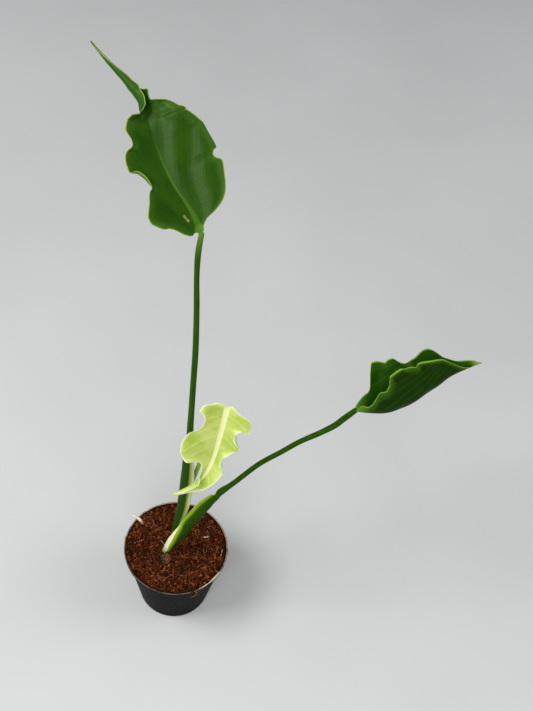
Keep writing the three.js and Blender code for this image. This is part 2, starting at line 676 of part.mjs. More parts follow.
function standing(mesh, foot) {
  mesh.position.set(...foot);
  return mesh;
}

const group = grouped(
  'potted_split_leaf_plant',
  grouped('potting', piece('pot', pot(), COLOURS.pot), piece('soil', soil(), COLOURS.soil)),
  grouped(
    'stem_base',
    standing(piece('stem', stem(), COLOURS.stem), STEM_FOOT),
    standing(piece('old_stub', stub(), COLOURS.dry), STUB_FOOT),
    piece('root_tip', stalk(ROOT_TIP), COLOURS.root),
  ),
  grouped(
    'tall_leaf',
    piece('tall_stalk', stalk(TALL_STALK), COLOURS.stalk),
    piece('tall_blade', blade(TALL_BLADE), COLOURS.tallBlade),
  ),
  grouped(
    'side_leaf',
    piece('side_stalk', stalk(SIDE_STALK), COLOURS.stalk),
    piece('side_blade', blade(SIDE_BLADE), COLOURS.sideBlade),
  ),
  grouped(
    'new_leaf',
    piece('new_stalk', stalk(NEW_STALK), COLOURS.newStalk),
    piece('new_blade', blade(NEW_BLADE), COLOURS.newBlade),
  ),
);

export default group;
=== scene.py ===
"""Looks for the potted aroid: fine leaves, sheathed stalks, crumbly soil and a black nursery pot."""

import math

import bpy
import numpy as np
from mathutils import Matrix, Vector, noise


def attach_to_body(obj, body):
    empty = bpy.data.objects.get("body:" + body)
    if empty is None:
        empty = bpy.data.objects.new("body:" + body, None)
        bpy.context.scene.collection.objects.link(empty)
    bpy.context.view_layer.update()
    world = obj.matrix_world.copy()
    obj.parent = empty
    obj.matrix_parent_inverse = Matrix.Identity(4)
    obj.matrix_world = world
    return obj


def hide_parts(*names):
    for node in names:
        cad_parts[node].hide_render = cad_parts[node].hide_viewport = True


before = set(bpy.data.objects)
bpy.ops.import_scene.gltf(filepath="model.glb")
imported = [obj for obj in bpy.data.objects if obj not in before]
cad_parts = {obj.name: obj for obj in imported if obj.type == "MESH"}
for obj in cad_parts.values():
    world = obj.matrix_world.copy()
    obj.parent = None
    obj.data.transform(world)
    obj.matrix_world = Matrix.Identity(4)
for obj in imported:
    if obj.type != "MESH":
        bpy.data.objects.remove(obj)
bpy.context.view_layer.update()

MM = 0.001
SEED = 7

# Camera: 55 mm lens above the front, rolled a little, in metres and degrees
CAMERA_PLACE = (0.063, -0.523, 1.075)
CAMERA_PITCH = 51.6
CAMERA_ROLL = 8.2
CAMERA_LENS = 55
CAMERA_SIGHT = 20

# Studio, in metres and watts, with lights as (name, place, what it points at, side of its square, power)
FLOOR_REACH = 6
FLOOR_COLOURS = ((0.66, 0.66, 0.65), (0.7, 0.7, 0.69))
SKY_COLOUR = (0.9, 0.95, 1, 1)
SKY_STRENGTH = 0.3
LIGHTS = (
    ("key", (-1.0, -0.35, 1.8), (0.05, 0.03, 0.3), 0.9, 22),
    ("front", (-0.2, -1.5, 1.3), (0.05, 0, 0.3), 1.1, 13),
    ("right", (1.3, 0.1, 1.4), (0.05, 0.03, 0.25), 0.9, 7),
)

# Pot, soil, stem and stub, the same sizes in mm as the solids
POT_HEIGHT = 85
RIM_RADIUS = 52.5
BASE_RADIUS = 36.5
WALL_TOP_RADIUS = 50.2
LIP_DEPTH = 3.2
WALL = 1.2
FLOOR = 1.6
GAP = 0.3
SOIL_TOP = 81.5
SOIL_RISE = 2.8
SOIL_RELIEF = 0.8
SOIL_EDGE = 50.4
STEM_FOOT = (-8.5, -3.2, 45)
STEM_RADIUS = 5.4
STUB_FOOT = (-8, -15, 52)
STUB_RADIUS = 5

# The soil's finer surface: its rings, the width of its calm edge, and the mound heaped round the stem
SOIL_SEGMENTS = 220
SOIL_RINGS = 66
CALM_WIDTH = 4
MOUND = 5.5
MOUND_REACH = 6.5
MOUND_WIDTH = 3
MOUND_FRONT = 2.5

# Outlines of the turned pieces: (radius, height over the foot)
TURNED_SEGMENTS = 48
STEM_OUTLINE = ((0, 0), (4.4, 0), (5.4, 2), (5.4, 35), (5.1, 37.2), (4, 38.2), (0, 38.2))
STEM_WOBBLE = 0.02
STUB_OUTLINE = (
    (0, 0), (4, 0), (4.7, 2), (4.7, 29.5), (5.2, 32.5), (4.9, 35.5), (4.1, 37.5), (2.8, 38.5), (1, 37.3),
    (0, 37.1),
)
STUB_WOBBLE = 0.3

# What is strewn on the soil and the rim: how many, how far out, least and most size in mm
CLEARANCE = 0.5
CRUMBS, CRUMB_REACH, CRUMB_SIZE, CRUMB_FLATNESS = 2600, 49.3, (0.5, 2.2), 0.6
FIBRES, FIBRE_REACH, FIBRE_LENGTH, FIBRE_RADIUS = 1500, 49, (2.5, 10), (0.14, 0.36)
FIBRE_POINTS = 8
PALEST_FIBRE = 0.68
RIM_FIBRES, RIM_FROM, RIM_SWEEP = 110, -20, 225

# Fibres and bark bits that stand out on the soil: places (x, y), radius, how pale from 0 to 1
LAID_FIBRES = (
    (((-9.3, -29.4), (-7.9, -25.7), (-7.2, -22)), 1, 0.6),
    (((-15.3, -38.5), (-13.5, -39.5), (-11.5, -39.9)), 0.8, 0.56),
    (((-4.6, -22.2), (-4, -20.5), (-3.5, -18.7)), 0.8, 0.62),
    (((5, -2.5), (6.6, -6.3), (9.6, -8.7), (13.2, -8.7)), 0.4, 0.62),
    (((21.5, -9.7), (22, -7.6), (22.4, -5.6)), 0.7, 0.6),
    (((29.1, 4.5), (28.1, 0.3), (30.8, -3.9), (34.3, -6.9), (38.1, -4.7), (38.2, 1.6)), 0.35, 0.6),
    (((38.6, 9.6), (43.2, 5.5), (44.9, 7.9)), 0.5, 0.62),
    (((40.7, 1.8), (41.6, 5), (42.3, 8.8)), 0.45, 0.66),
    (((24.7, 16.4), (28.2, 17.3), (31.6, 18.5)), 0.6, 1),
    (((46, -3.4), (46.4, 1.2), (46.8, 5.2)), 0.5, 0.86),
    (((-42.3, -1.3), (-41.6, -1.7), (-40.9, -2.2)), 0.6, 0.92),
    (((-17.2, 7), (-14, 3.5), (-10.3, 0.1)), 0.35, 0.8),
    (((-42.2, -23.3), (-39.1, -26.6), (-34.4, -27.3)), 0.4, 0.6),
    (((-45.9, -17.2), (-43.7, -19.6), (-41.5, -21.9)), 0.4, 0.6),
    (((40.9, -14.2), (43.7, -19.7), (47.2, -21)), 0.35, 0.66),
    (((11.8, 9.4), (16.7, 11.3), (20, 16.4), (20.4, 24.5)), 0.35, 0.6),
)

# A root along the rim and threads hanging over it: (degrees round, height) and radius, how pale
RIM_THREADS = (
    (((-23, 84.9), (-27, 85.6), (-32, 85.8), (-37, 85.8), (-41, 85.6)), 0.95, 0.93),
    (((-39, 85.4), (-44, 85.4), (-49, 85.4), (-54.5, 85.3)), 0.45, 1),
    (((-60, 85.2), (-59, 84.6), (-57, 76), (-55, 66), (-59, 60), (-63, 64)), 0.28, 0.7),
    (((-50, 85.2), (-50.5, 84.6), (-52, 74), (-56, 64), (-60, 62), (-63, 68)), 0.25, 0.66),
    (((-46, 85.2), (-46.5, 84.4), (-47, 74), (-50, 62), (-55, 57)), 0.22, 0.6),
    (((-6, 85.2), (-3, 85.1), (2, 84.8), (8, 85.2)), 0.25, 0.66),
    (((172, 85.2), (178, 84.9), (184, 85.3), (190, 85)), 0.25, 0.6),
    (((196, 85.1), (203, 85.3), (209, 85)), 0.25, 0.62),
    (((86, 85.3), (93, 85.4), (101, 85.3)), 0.35, 0.95),
)

# Blades
BLADE_ROWS = 168
BLADE_COLUMNS = 22
BLADE_THICKNESS = 0.5
EDGE_CURL_WIDTH = 6
FULL_CURL = 90
LEAST_HALF_WIDTH = 0.4
LIFT_POWER = 2.2
COLUMN_CROWDING = 1.35
TANGENT_REACH = 1.5
SAMPLES_PER_SPAN = 24
RIB_HALF = (2, 0.3)
RIDGE_SHOULDER = 0.55
GROOVE_WIDTH, GROOVE_DEPTH = 1.2, 0.25
THIN_EDGE_WIDTH, THIN_EDGE_SHARE = 0.8, 0.35
SWELL_FROM_RIB, SWELL_FROM_EDGE = 10, 8

# Each blade is described along its midrib, as in the solids:
# rib points, the way the upper side faces, fold as [station, left degrees, right degrees, keel radius],
# margins as [along the rib, out from it, lift, degrees of edge curl]
TALL_BLADE = {
    "length": 177, "spread": 1.1, "sweep": 1.4, "ridge": (1, 0.2), "wave": (0.7, 68, 17, 2.75),
    "rib": [
        (2, 46, 493), (-9.5, 60, 501), (-24.5, 75, 509), (-37, 92, 518), (-46, 107, 526), (-50.5, 115, 530),
        (-54, 123, 534), (-58, 130, 538), (-65, 136, 541), (-76.5, 144.5, 546), (-89, 153.5, 551),
        (-105, 167, 558),
    ],
    "face": [(0, -0.5, 0.9)] * 5 + [
        (0, -0.6, 0.8), (0.1, -0.7, 0.7), (0.2, -0.7, 0.7), (0.3, -0.6, 0.7), (0.4, -0.4, 0.8),
        (0.5, -0.3, 0.8), (0.5, -0.3, 0.8),
    ],
    "fold": [
        (0, 22, 5, 14), (50, 22, 6, 14), (90, 20, 8, 12), (98, 30, 12, 9), (102.5, 125, 20, 4.5),
        (108, 142, 28, 4.5), (118, 165, 38, 4.2), (125, 190, 45, 3.8), (138, 198, 50, 2.6),
        (152, 195, 55, 2.3), (165, 150, 60, 1.7), (177, 60, 50, 1.6),
    ],
    "left": [
        (-1, 2), (1.5, 5), (0.5, 7), (-1, 9), (0.5, 11), (2.5, 14), (7, 18), (11, 22.5, 0, -20),
        (13.5, 27, -1, -40), (19.5, 31.5, -1, -40), (26.5, 33, 0, -20), (31, 31), (36.5, 26),
        (42, 22, 0, 20), (44.5, 20, 1, 70), (49.5, 22, 1, 110), (53.5, 23.5, 1, 120), (57, 26, 1, 120),
        (58.5, 27.5, 1, 80), (60, 28.5, 0, 20), (63, 28.5), (68, 28), (71.5, 27), (75.5, 24.5, 0, 20),
        (77, 21.5, 1, 60), (79, 20.5, 1, 70), (83.5, 19.5, 1, 50), (90.5, 19, 0, 10), (95.5, 18, -1, -20),
        (99, 16, -1, -20), (100.5, 12.5), (101.5, 8.5, 1), (102, 7), (102, 12), (103, 14), (105, 16.5),
        (109, 16), (113, 16), (119, 16), (125, 15.5), (131.5, 12), (137.5, 9.5), (144, 8), (151, 6.5),
        (158.5, 5), (165, 3.5), (171, 2.5), (177, 0.6),
    ],
    "right": [
        (0, 2), (3.5, 3.5), (7.5, 8.5), (9.5, 15.5, 0, 10), (12.5, 23, 0, 20), (17.5, 29.5, 0, 10),
        (26, 36), (37, 41, 1, 10), (47, 37.5, 1), (54.5, 39, -1, -30), (61.5, 43.5, -3, -80),
        (78, 41.5, -3, -80), (85, 37.5, -1, -30), (94.5, 31.5), (100, 30.5, -1, -40),
        (103.5, 25.5, -3, -80), (107.5, 20, -3, -60), (108.5, 16), (110, 11, 1, 20), (112.5, 6.5),
        (114.5, 7.5), (117, 10), (119, 7), (122.5, 5), (127.5, 4.5), (135, 4.5), (143, 3.5), (153, 2.5),
        (165, 1.5), (177, 0.6),
    ],
}

SIDE_BLADE = {
    "length": 121, "spread": 0.97, "sweep": 1.5, "ridge": (1.2, 0.2), "wave": (0.35, 26, 0, 1.2),
    "rib": [
        (149, 49, 294.6), (162, 50.3, 293.5), (176, 53, 295.6), (190, 57, 301.4), (202, 62, 311.2),
        (214, 68, 323.2), (224, 73, 332.5), (235, 78, 339), (243, 82, 340), (251, 85, 341),
    ],
    "face": [(-0.2, 0.3, 0.9)] * 8 + [(0, 0.1, 1), (0, 0.1, 1)],
    "fold": [
        (0, 58, 70, 5), (8, 62, 82, 8), (25, 62, 86, 12), (75, 62, 86, 13), (102, 62, 84, 8),
        (114, 60, 70, 3), (118, 50, 50, 2.5), (121, 50, 50, 2),
    ],
    "left": [
        (-1, 3), (1, 7), (3.5, 12), (6.5, 16), (10, 19), (12, 23), (11.5, 30), (10, 35.5), (9.5, 39.5),
        (10.8, 43), (14.5, 45), (19.5, 46), (26, 46.5, 0, 10), (34.5, 45.5, 0, 40), (42.5, 43.5, 0, 30),
        (50.5, 44), (55.5, 43.5, 0, 20), (59.5, 39.5, 0, 80), (63, 36.5, 0, 100), (67, 33.5, 0, 60),
        (71, 32.5, 0, 20), (74.5, 32), (78, 32.5), (83, 33), (87, 31.5), (89.3, 28), (91.2, 23), (93, 18),
        (95.8, 14.5), (100, 10), (107, 6.5), (113, 4.5), (118, 2), (121, 0.6),
    ],
    "right": [
        (-1.5, 3), (-0.5, 8), (2, 12.5), (7.5, 16, 0, -20), (12, 21, 0, -10), (15, 26.5),
        (17.5, 33, 0, -20), (21.5, 37, 0, -30), (30, 37, 0, -20), (37, 40.5), (48, 45.5, 0, -10),
        (53, 51, 0, -60), (57.5, 55.5, 0, -110), (65, 56, 0, -110), (70.5, 52, 0, -60), (74.5, 46.5),
        (78, 45, 0, -40), (81.5, 48.5, 0, -90), (84, 47, 0, -100), (88, 42.5, 0, -100), (92.5, 37, 0, -90),
        (95.5, 29.5, 0, -60), (98, 21, 0, -20), (101.5, 13), (106, 7), (110, 3.5), (115, 2), (121, 0.6),
    ],
}

NEW_BLADE = {
    "length": 121, "spread": 1.2, "sweep": 1.6, "ridge": (0.6, 0.2), "wave": (0.12, 12, 3, 0.7),
    "rib": [
        (39, -40, 396), (37.3, -43, 377), (35.2, -46, 357), (33, -49, 339), (29.6, -52, 323),
        (23.6, -55, 309), (15.5, -58, 301.5), (8, -60, 295.5), (1, -62, 289),
    ],
    "face": [(0.1, -0.9, 0.3)] * 4 + [
        (0, -0.9, 0.3), (-0.1, -1, 0.2), (0, -1, 0), (0, -1, -0.1), (0, -1, -0.1),
    ],
    "fold": [
        (0, 25, 10, 12), (40, 20, 8, 14), (62, 20, 12, 12), (74, 20, 40, 7), (81, 20, 92, 4.2),
        (87, 22, 150, 3), (92, 24, 190, 2.5), (103, 28, 195, 2.1), (114, 40, 150, 2), (121, 50, 90, 1.8),
    ],
    "left": [
        (-1.5, 3.5), (-1, 5.5), (1.5, 8), (3.5, 11.5), (4, 16), (6, 19.5, 0, -20), (11.5, 22.5, 0, -50),
        (16.5, 22.5, 0, -40), (20.5, 21.5, 0, -10), (19.3, 19.5), (19, 18), (19.5, 16.5), (20.5, 15, 0, 20),
        (21.5, 14, 0, 60), (28.5, 17.5, 0, 170), (32.5, 18, 0, 120), (39.5, 18.5), (44, 17.5, 0, -20),
        (46.5, 14), (50, 11.5, 0, 30), (54, 11, 0, 120), (61, 12, 0, 150), (65.5, 12, 0, 80), (76.5, 11.5),
        (82.5, 10.5), (89.5, 9), (96, 7.5), (103.5, 5), (113, 3), (121, 0.6),
    ],
    "right": [
        (-1.5, 2), (-3, 5.5), (-3.5, 8.5, 0, -20), (-2.5, 12.5), (-1.5, 16.5, 0, -10), (2, 19, 0, -30),
        (6.5, 20.5, 0, -40), (8.5, 18), (12.5, 16, 0, 20), (18.5, 16, 0, 30), (25, 17.5, 0, 20),
        (28.5, 20.5, 0, 10), (32, 25), (39, 27.5, 0, -10), (47.5, 29, 0, -20), (57, 28, 0, -20),
        (64.5, 24.5, 0, -20), (67, 21, 0, -10), (67.3, 18, 0, -20), (66.3, 15.5), (66, 13), (66.5, 10.5),
        (69, 8.5), (73, 7), (78, 6.2), (82, 7), (87, 8.5), (92, 8.5), (99, 6.5), (107, 5.5), (114, 3.5),
        (121, 0.6),
    ],
}

# Stalks: the way the sheath opens, and path points as
# [x, y, z, radius, how open the sheath is, degrees it reaches round on one side, on the other],
# the last three left out where it is closed
SHEATH_WALL = 0.7
CLOSED_REACH = 80
TALL_STALK = {
    "opening": (0.95, 0.3, 0), "tail": 1.8,
    "path": [
        (-8, -3, 84.1, 3.1, 1, 115, 135), (-5, -1.2, 100, 3.6, 1, 115, 135),
        (-1.2, 1.1, 118, 4.1, 1, 115, 135), (1.6, 2.9, 139, 5, 1, 115, 135),
        (4.1, 3.8, 157, 5.9, 1, 115, 135), (5.5, 5, 172, 6.7, 1, 115, 135), (7, 8, 204, 7.1, 1, 115, 135),
        (7.2, 10.5, 228, 6.6, 1, 110, 125), (6.6, 13, 246, 4.4, 0.7, 100, 105), (5.6, 15.5, 266, 3),
        (5.2, 20, 307, 2.7), (5, 24, 345, 2.6), (4.7, 28, 373, 2.6), (2.9, 34, 420, 2.4), (1, 39, 452, 2.2),
        (0.8, 42, 474, 2.4), (2.1, 45.3, 491.2, 2.1),
    ],
}
SIDE_STALK = {
    "opening": (-0.8, 0.6, -0.05), "tail": 2.2,
    "path": [
        (-7.8, -2.9, 84.8, 4.6, 1, 150, 140), (-5.3, -2.3, 95, 5.5, 1, 130, 115),
        (-1.2, -1.8, 107, 6.3, 1, 130, 115), (3, -2, 119, 6.7, 1, 128, 115),
        (7.6, -1, 130, 6.8, 1, 124, 112), (12, 0, 144, 6.9, 1, 126, 115), (17, 1, 154, 6.9, 1, 135, 118),
        (24.6, 4, 169.6, 6.3, 1, 140, 112), (32.6, 6.8, 181.8, 4.8, 1, 130, 105), (38.2, 8.6, 189, 3.3),
        (48, 12, 200, 2.5), (71, 20, 230, 2.4), (88, 26, 244, 2.4), (104, 32, 257, 2.4),
        (121, 38, 267, 2.6), (133, 42, 276.4, 2.8), (140, 45.2, 284.4, 2.8), (148, 48.7, 293.4, 2.5),
    ],
}
NEW_STALK = {
    "opening": (0.7, 0.7, 0), "tail": 1,
    "path": [
        (-7.9, -3, 84, 1.8), (-4.8, -0.9, 101, 1.9), (-0.6, 1.4, 120, 2), (3, 3.4, 136, 2),
        (5.7, 4.8, 149, 2), (8, 6.5, 166, 2), (9, 8.5, 181, 2), (10.6, 10, 196, 2), (13.4, 11, 211, 2),
        (16.8, 9, 235, 2), (22.5, 2, 276, 2), (28, -9, 320, 2), (33.5, -20, 355, 2),
        (36.5, -28.5, 376.5, 2), (37.6, -34, 384.5, 2), (38, -39.8, 387.2, 1.8),
    ],
}
ROOT_TIP = {
    "opening": (0, 0, 1), "tail": 0,
    "path": [
        (-32, 18, 70, 1.5), (-36, 20.6, 77.8, 1.5), (-40.5, 23.4, 86, 1.6), (-45.5, 25.6, 88.3, 1.5),
        (-51, 28, 88.2, 0.8),
    ],
}


# Curves and frames

def unit(v):
    return v / np.linalg.norm(v, axis=-1, keepdims=True)


def smooth_curve(rows):
    """Centripetal curve through rows of numbers, with the length run along its first three."""
    p = np.asarray(rows, float)
    q = np.vstack([2 * p[0] - p[1], p, 2 * p[-1] - p[-2]])
    parts = []
    for a, b, c, d in zip(q[:-3], q[1:-2], q[2:-1], q[3:]):
        tb = math.sqrt(np.linalg.norm(b - a))
        tc = tb + math.sqrt(np.linalg.norm(c - b))
        td = tc + math.sqrt(np.linalg.norm(d - c))
        t = (tb + (tc - tb) * np.arange(SAMPLES_PER_SPAN) / SAMPLES_PER_SPAN)[:, None]
        ab = a + (b - a) * t / tb
        bc = b + (c - b) * (t - tb) / (tc - tb)
        cd = c + (d - c) * (t - tc) / (td - tc)
        abc = ab + (bc - ab) * t / tc
        bcd = bc + (cd - bc) * (t - tb) / (td - tb)
        parts.append(abc + (bcd - abc) * (t - tb) / (tc - tb))
    points = np.vstack([*parts, p[-1:]])
    steps = np.linalg.norm(np.diff(points[:, :3], axis=0), axis=1)
    return points, np.concatenate([[0], np.cumsum(steps)])


def drawn_line(places, step=4):
    """Smooth line through places of two numbers, with every so many of its samples."""
    return smooth_curve([(*place, 0) for place in places])[0][::step, :2]


def straight_rows(stations, rows, at):
    return np.stack([np.interp(at, stations, rows[:, k]) for k in range(rows.shape[1])], -1)


def eased_rows(table, at):
    """Rows of a table read between its stations, eased from one row to the next."""
    t = np.asarray(table, float)
    at = np.clip(at, t[0, 0], t[-1, 0])
    i = np.clip(np.searchsorted(t[:, 0], at, side="right") - 1, 0, len(t) - 2)
    share = (at - t[i, 0]) / (t[i + 1, 0] - t[i, 0])
    share = (share * share * (3 - 2 * share))[..., None]
    return t[i, 1:] * (1 - share) + t[i + 1, 1:] * share


class Guide:
    """A curve with its tangent, the way it faces and the direction across it."""

    def __init__(self, points, facings):
        self.points, self.run = smooth_curve(points)
        self.length = self.run[-1]
        self.knots = self.run[::SAMPLES_PER_SPAN]
        self.facings = np.column_stack([self.knots, np.asarray(facings, float)])

    def frames(self, at):
        inside = np.clip(at, 0, self.length)
        before = straight_rows(self.run, self.points, np.clip(inside - TANGENT_REACH, 0, self.length))
        after = straight_rows(self.run, self.points, np.clip(inside + TANGENT_REACH, 0, self.length))
        tangent = unit(after - before)
        point = straight_rows(self.run, self.points, inside) + tangent * (at - inside)[..., None]
        facing = eased_rows(self.facings, inside)
        facing = unit(facing - tangent * np.sum(facing * tangent, -1, keepdims=True))
        return point, tangent, facing, np.cross(tangent, facing)


# Blades

def margin_stations(outline, scale, rows):
    """Margin points, shared out half by outline length and half by progress along the rib."""
    points, run = smooth_curve([(row[0] * scale, *row[1:], 0, 0)[:4] for row in outline])
    progress = np.maximum.accumulate(points[:, 0]) - points[0, 0]
    shares = 0.5 * (run / run[-1] + progress / progress[-1])
    margin = straight_rows(shares, points, np.arange(rows + 1) / rows)
    margin[:, 1] = np.maximum(margin[:, 1], LEAST_HALF_WIDTH)
    return margin


def blade_points(spec, rib, side, station, out, margin):
    """Points of one blade half, found by going out from the rib over the keel and up the fold."""
    point, _, facing, across = rib.frames(station)
    fold_row = eased_rows(spec["fold"], station * spec["length"] / rib.length)
    fold = np.radians(fold_row[:, 0] if side < 0 else fold_row[:, 1])
    keel = fold_row[:, 2]
    half, lift, curl = margin[:, 1], margin[:, 2], margin[:, 3]
    curl_width = np.minimum(EDGE_CURL_WIDTH, 0.6 * half)
    into_curl = np.maximum(0, out - (half - curl_width))
    bend = np.radians(np.where(np.abs(curl) < 0.1, 0.1, curl)) / curl_width
    reach = out - into_curl + np.sin(bend * into_curl) / bend
    rise = (1 - np.cos(bend * into_curl)) / bend
    turned = np.minimum(reach / keel, fold)
    straight = np.maximum(0, reach - keel * fold)
    sideways = keel * np.sin(turned) + straight * np.cos(fold)
    upwards = keel * (1 - np.cos(turned)) + straight * np.sin(fold)
    height = lift * (out / half) ** LIFT_POWER + rise
    sideways = side * (sideways - height * np.sin(turned))
    upwards = upwards + height * np.cos(turned)
    return point + across * sideways[:, None] + facing * upwards[:, None]


def blade_surface(spec):
    """Middle surface with rows from stalk to tip and columns from left to right, and what each point is."""
    rib = Guide(spec["rib"], spec["face"])
    count = 2 * BLADE_COLUMNS + 1
    share = np.arange(BLADE_ROWS + 1) / BLADE_ROWS
    attach = rib.length * share ** spec["spread"]
    grid = np.zeros((BLADE_ROWS + 1, count, 3))
    out_mm, edge_mm, rolled = (np.zeros((BLADE_ROWS + 1, count)) for _ in range(3))
    grid[:, BLADE_COLUMNS] = rib.frames(attach)[0]
    for side, key in ((-1, "left"), (1, "right")):
        margin = margin_stations(spec[key], rib.length / spec["length"], BLADE_ROWS)
        rib_half = np.minimum(RIB_HALF[0] + (RIB_HALF[1] - RIB_HALF[0]) * share, margin[:, 1] * 0.5)
        for step in range(1, BLADE_COLUMNS + 1):
            crowd = 1 - (1 - (step - 1) / (BLADE_COLUMNS - 1)) ** COLUMN_CROWDING
            out = rib_half + (margin[:, 1] - rib_half) * crowd
            station = attach + (margin[:, 0] - attach) * (out / margin[:, 1]) ** spec["sweep"]
            column = BLADE_COLUMNS + side * step
            grid[:, column] = blade_points(spec, rib, side, station, out, margin)
            out_mm[:, column] = side * out
            edge_mm[:, column] = margin[:, 1] - out
            # How far into a curled edge each point lies: the mask for a highlight painted on the curls.
            nearness = np.clip(1.15 - edge_mm[:, column] / (1.5 * EDGE_CURL_WIDTH), 0, 1)
            rolled[:, column] = nearness * np.clip(np.abs(margin[:, 3]) / FULL_CURL, 0, 1)
        edge_mm[:, BLADE_COLUMNS] = margin[:, 1]
    row = np.repeat(share[:, None], count, 1)
    along_mm = np.repeat(attach[:, None], count, 1)
    return grid, {"out_mm": out_mm, "edge_mm": edge_mm, "row": row, "along_mm": along_mm, "rolled": rolled}


def grid_normals(grid):
    """Outward directions of a grid, averaged over the cells around each point."""
    rising = grid[1:, 1:] - grid[:-1, :-1]
    falling = grid[:-1, 1:] - grid[1:, :-1]
    cell = np.cross(falling, rising)
    normal = np.zeros_like(grid)
    normal[1:, 1:] += cell
    normal[1:, :-1] += cell
    normal[:-1, 1:] += cell
    normal[:-1, :-1] += cell
    return unit(normal)


def slab_faces(rows, columns):
    """Faces of a closed slab between an upper and a lower grid."""
    top = np.arange(rows * columns).reshape(rows, columns)
    bottom = top + rows * columns
    sheets = (
        (top[:-1, :-1], top[:-1, 1:], top[1:, 1:], top[1:, :-1]),
        (bottom[:-1, :-1], bottom[1:, :-1], bottom[1:, 1:], bottom[:-1, 1:]),
        (top[:-1, 0], top[1:, 0], bottom[1:, 0], bottom[:-1, 0]),
        (top[1:, -1], top[:-1, -1], bottom[:-1, -1], bottom[1:, -1]),
        (top[0, 1:], top[0, :-1], bottom[0, :-1], bottom[0, 1:]),
        (top[-1, :-1], top[-1, 1:], bottom[-1, 1:], bottom[-1, :-1]),
    )
    return np.vstack([np.stack([corner.ravel() for corner in sheet], -1) for sheet in sheets])


def new_piece(name, slot, points_mm, faces, material, attributes=None, replaces=True):
    """Smooth mesh from points in mm, hung on the root body, hiding the CAD node named by slot unless replaces
    is false.
    """
    mesh = bpy.data.meshes.new(name)
    mesh.from_pydata((np.asarray(points_mm) * MM).tolist(), [], [list(map(int, f)) for f in faces])
    mesh.polygons.foreach_set("use_smooth", [True] * len(mesh.polygons))
    for key, values in (attributes or {}).items():
        attribute = mesh.attributes.new(key, "FLOAT", "POINT")
        attribute.data.foreach_set("value", np.asarray(values, np.float32).ravel())
    mesh.materials.append(material)
    mesh.update()
    obj = bpy.data.objects.new(name, mesh)
    bpy.context.scene.collection.objects.link(obj)
    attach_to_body(obj, "root")
    if replaces:
        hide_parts(slot)


def swells(spec, facts):
    """Gentle waves of the blade between its side veins, in mm."""
    height, length, start, slant = spec["wave"]
    out = np.abs(facts["out_mm"])
    phase = (facts["along_mm"] - slant * out - start) / length
    fade = np.clip(out / SWELL_FROM_RIB, 0, 1)
    return height * np.sin(2 * np.pi * phase) * fade * np.clip(facts["edge_mm"] / SWELL_FROM_EDGE, 0, 1)


def make_blade(name, node, spec, material):
    surface, facts = blade_surface(spec)
    normal = grid_normals(surface)
    share = facts["row"][:, BLADE_COLUMNS]
    ridge = np.zeros(surface.shape[:2])
    high, low = spec["ridge"]
    for offset, part in ((0, 1), (-1, RIDGE_SHOULDER), (1, RIDGE_SHOULDER)):
        ridge[:, BLADE_COLUMNS + offset] = part * (high + (low - high) * share)
    groove = np.exp(-(facts["out_mm"] / GROOVE_WIDTH) ** 2) * GROOVE_DEPTH * (1 - share[:, None])
    thickness = BLADE_THICKNESS * np.clip(facts["edge_mm"] / THIN_EDGE_WIDTH, THIN_EDGE_SHARE, 1)
    surface = surface + normal * swells(spec, facts)[..., None]
    upper = surface + normal * (thickness / 2 - groove)[..., None]
    lower = surface - normal * (thickness / 2 + ridge)[..., None]
    rows, columns = surface.shape[:2]
    attributes = {key: np.concatenate([value.ravel()] * 2) for key, value in facts.items()}
    attributes["under"] = np.repeat([0.0, 1.0], rows * columns)
    points = np.concatenate([upper.reshape(-1, 3), lower.reshape(-1, 3)])
    new_piece(name, node, points, slab_faces(rows, columns), material, attributes)


# Stalks

def make_stalk(name, node, spec, material, rows, columns):
    """Stalk swept along its path: round where closed, a gutter with two wings where it sheathes."""
    stops = [(*row, 0, CLOSED_REACH, CLOSED_REACH)[:7] for row in spec["path"]]
    path = Guide([row[:3] for row in stops], [spec["opening"]] * len(stops))
    shapes = [(knot, *row[3:]) for knot, row in zip(path.knots, stops)]
    station = (path.length + spec["tail"]) * np.arange(rows + 1) / rows
    point, _, facing, across = path.frames(station)
    radius, is_open, reach_a, reach_b = eased_rows(shapes, station).T
    radius = radius * np.sqrt(1 - 0.8 * np.clip((station - path.length) / max(spec["tail"], 0.1), 0, 1) ** 2)
    u = 2 * np.arange(columns + 1) / columns - 1
    reach = np.where(u[None] < 0, reach_b[:, None], reach_a[:, None])
    degrees = (CLOSED_REACH + (reach - CLOSED_REACH) * is_open[:, None]) * u
    back, front = np.radians(degrees), np.radians(CLOSED_REACH * u)[None]
    radius, is_open = radius[:, None], is_open[:, None]
    lining = radius - SHEATH_WALL * (1 - 0.6 * np.abs(u) ** 3)

    def place(sideways, forwards):
        return point[:, None] + across[:, None] * sideways[..., None] + facing[:, None] * forwards[..., None]

    outer = place(radius * np.sin(back), -radius * np.cos(back))
    inner = place(
        radius * np.sin(front) * (1 - is_open) + lining * np.sin(back) * is_open,
        radius * np.cos(front) * (1 - is_open) - lining * np.cos(back) * is_open,
    )
    attributes = {"inside": np.repeat([1.0, 0.0], degrees.size)}
    for key, value in (("round_deg", degrees), ("open", is_open), ("run_mm", station[:, None])):
        attributes[key] = np.concatenate([np.broadcast_to(value, degrees.shape).ravel()] * 2)
    points = np.concatenate([inner.reshape(-1, 3), outer.reshape(-1, 3)])
    new_piece(name, node, points, slab_faces(rows + 1, columns + 1), material, attributes)


# Materials

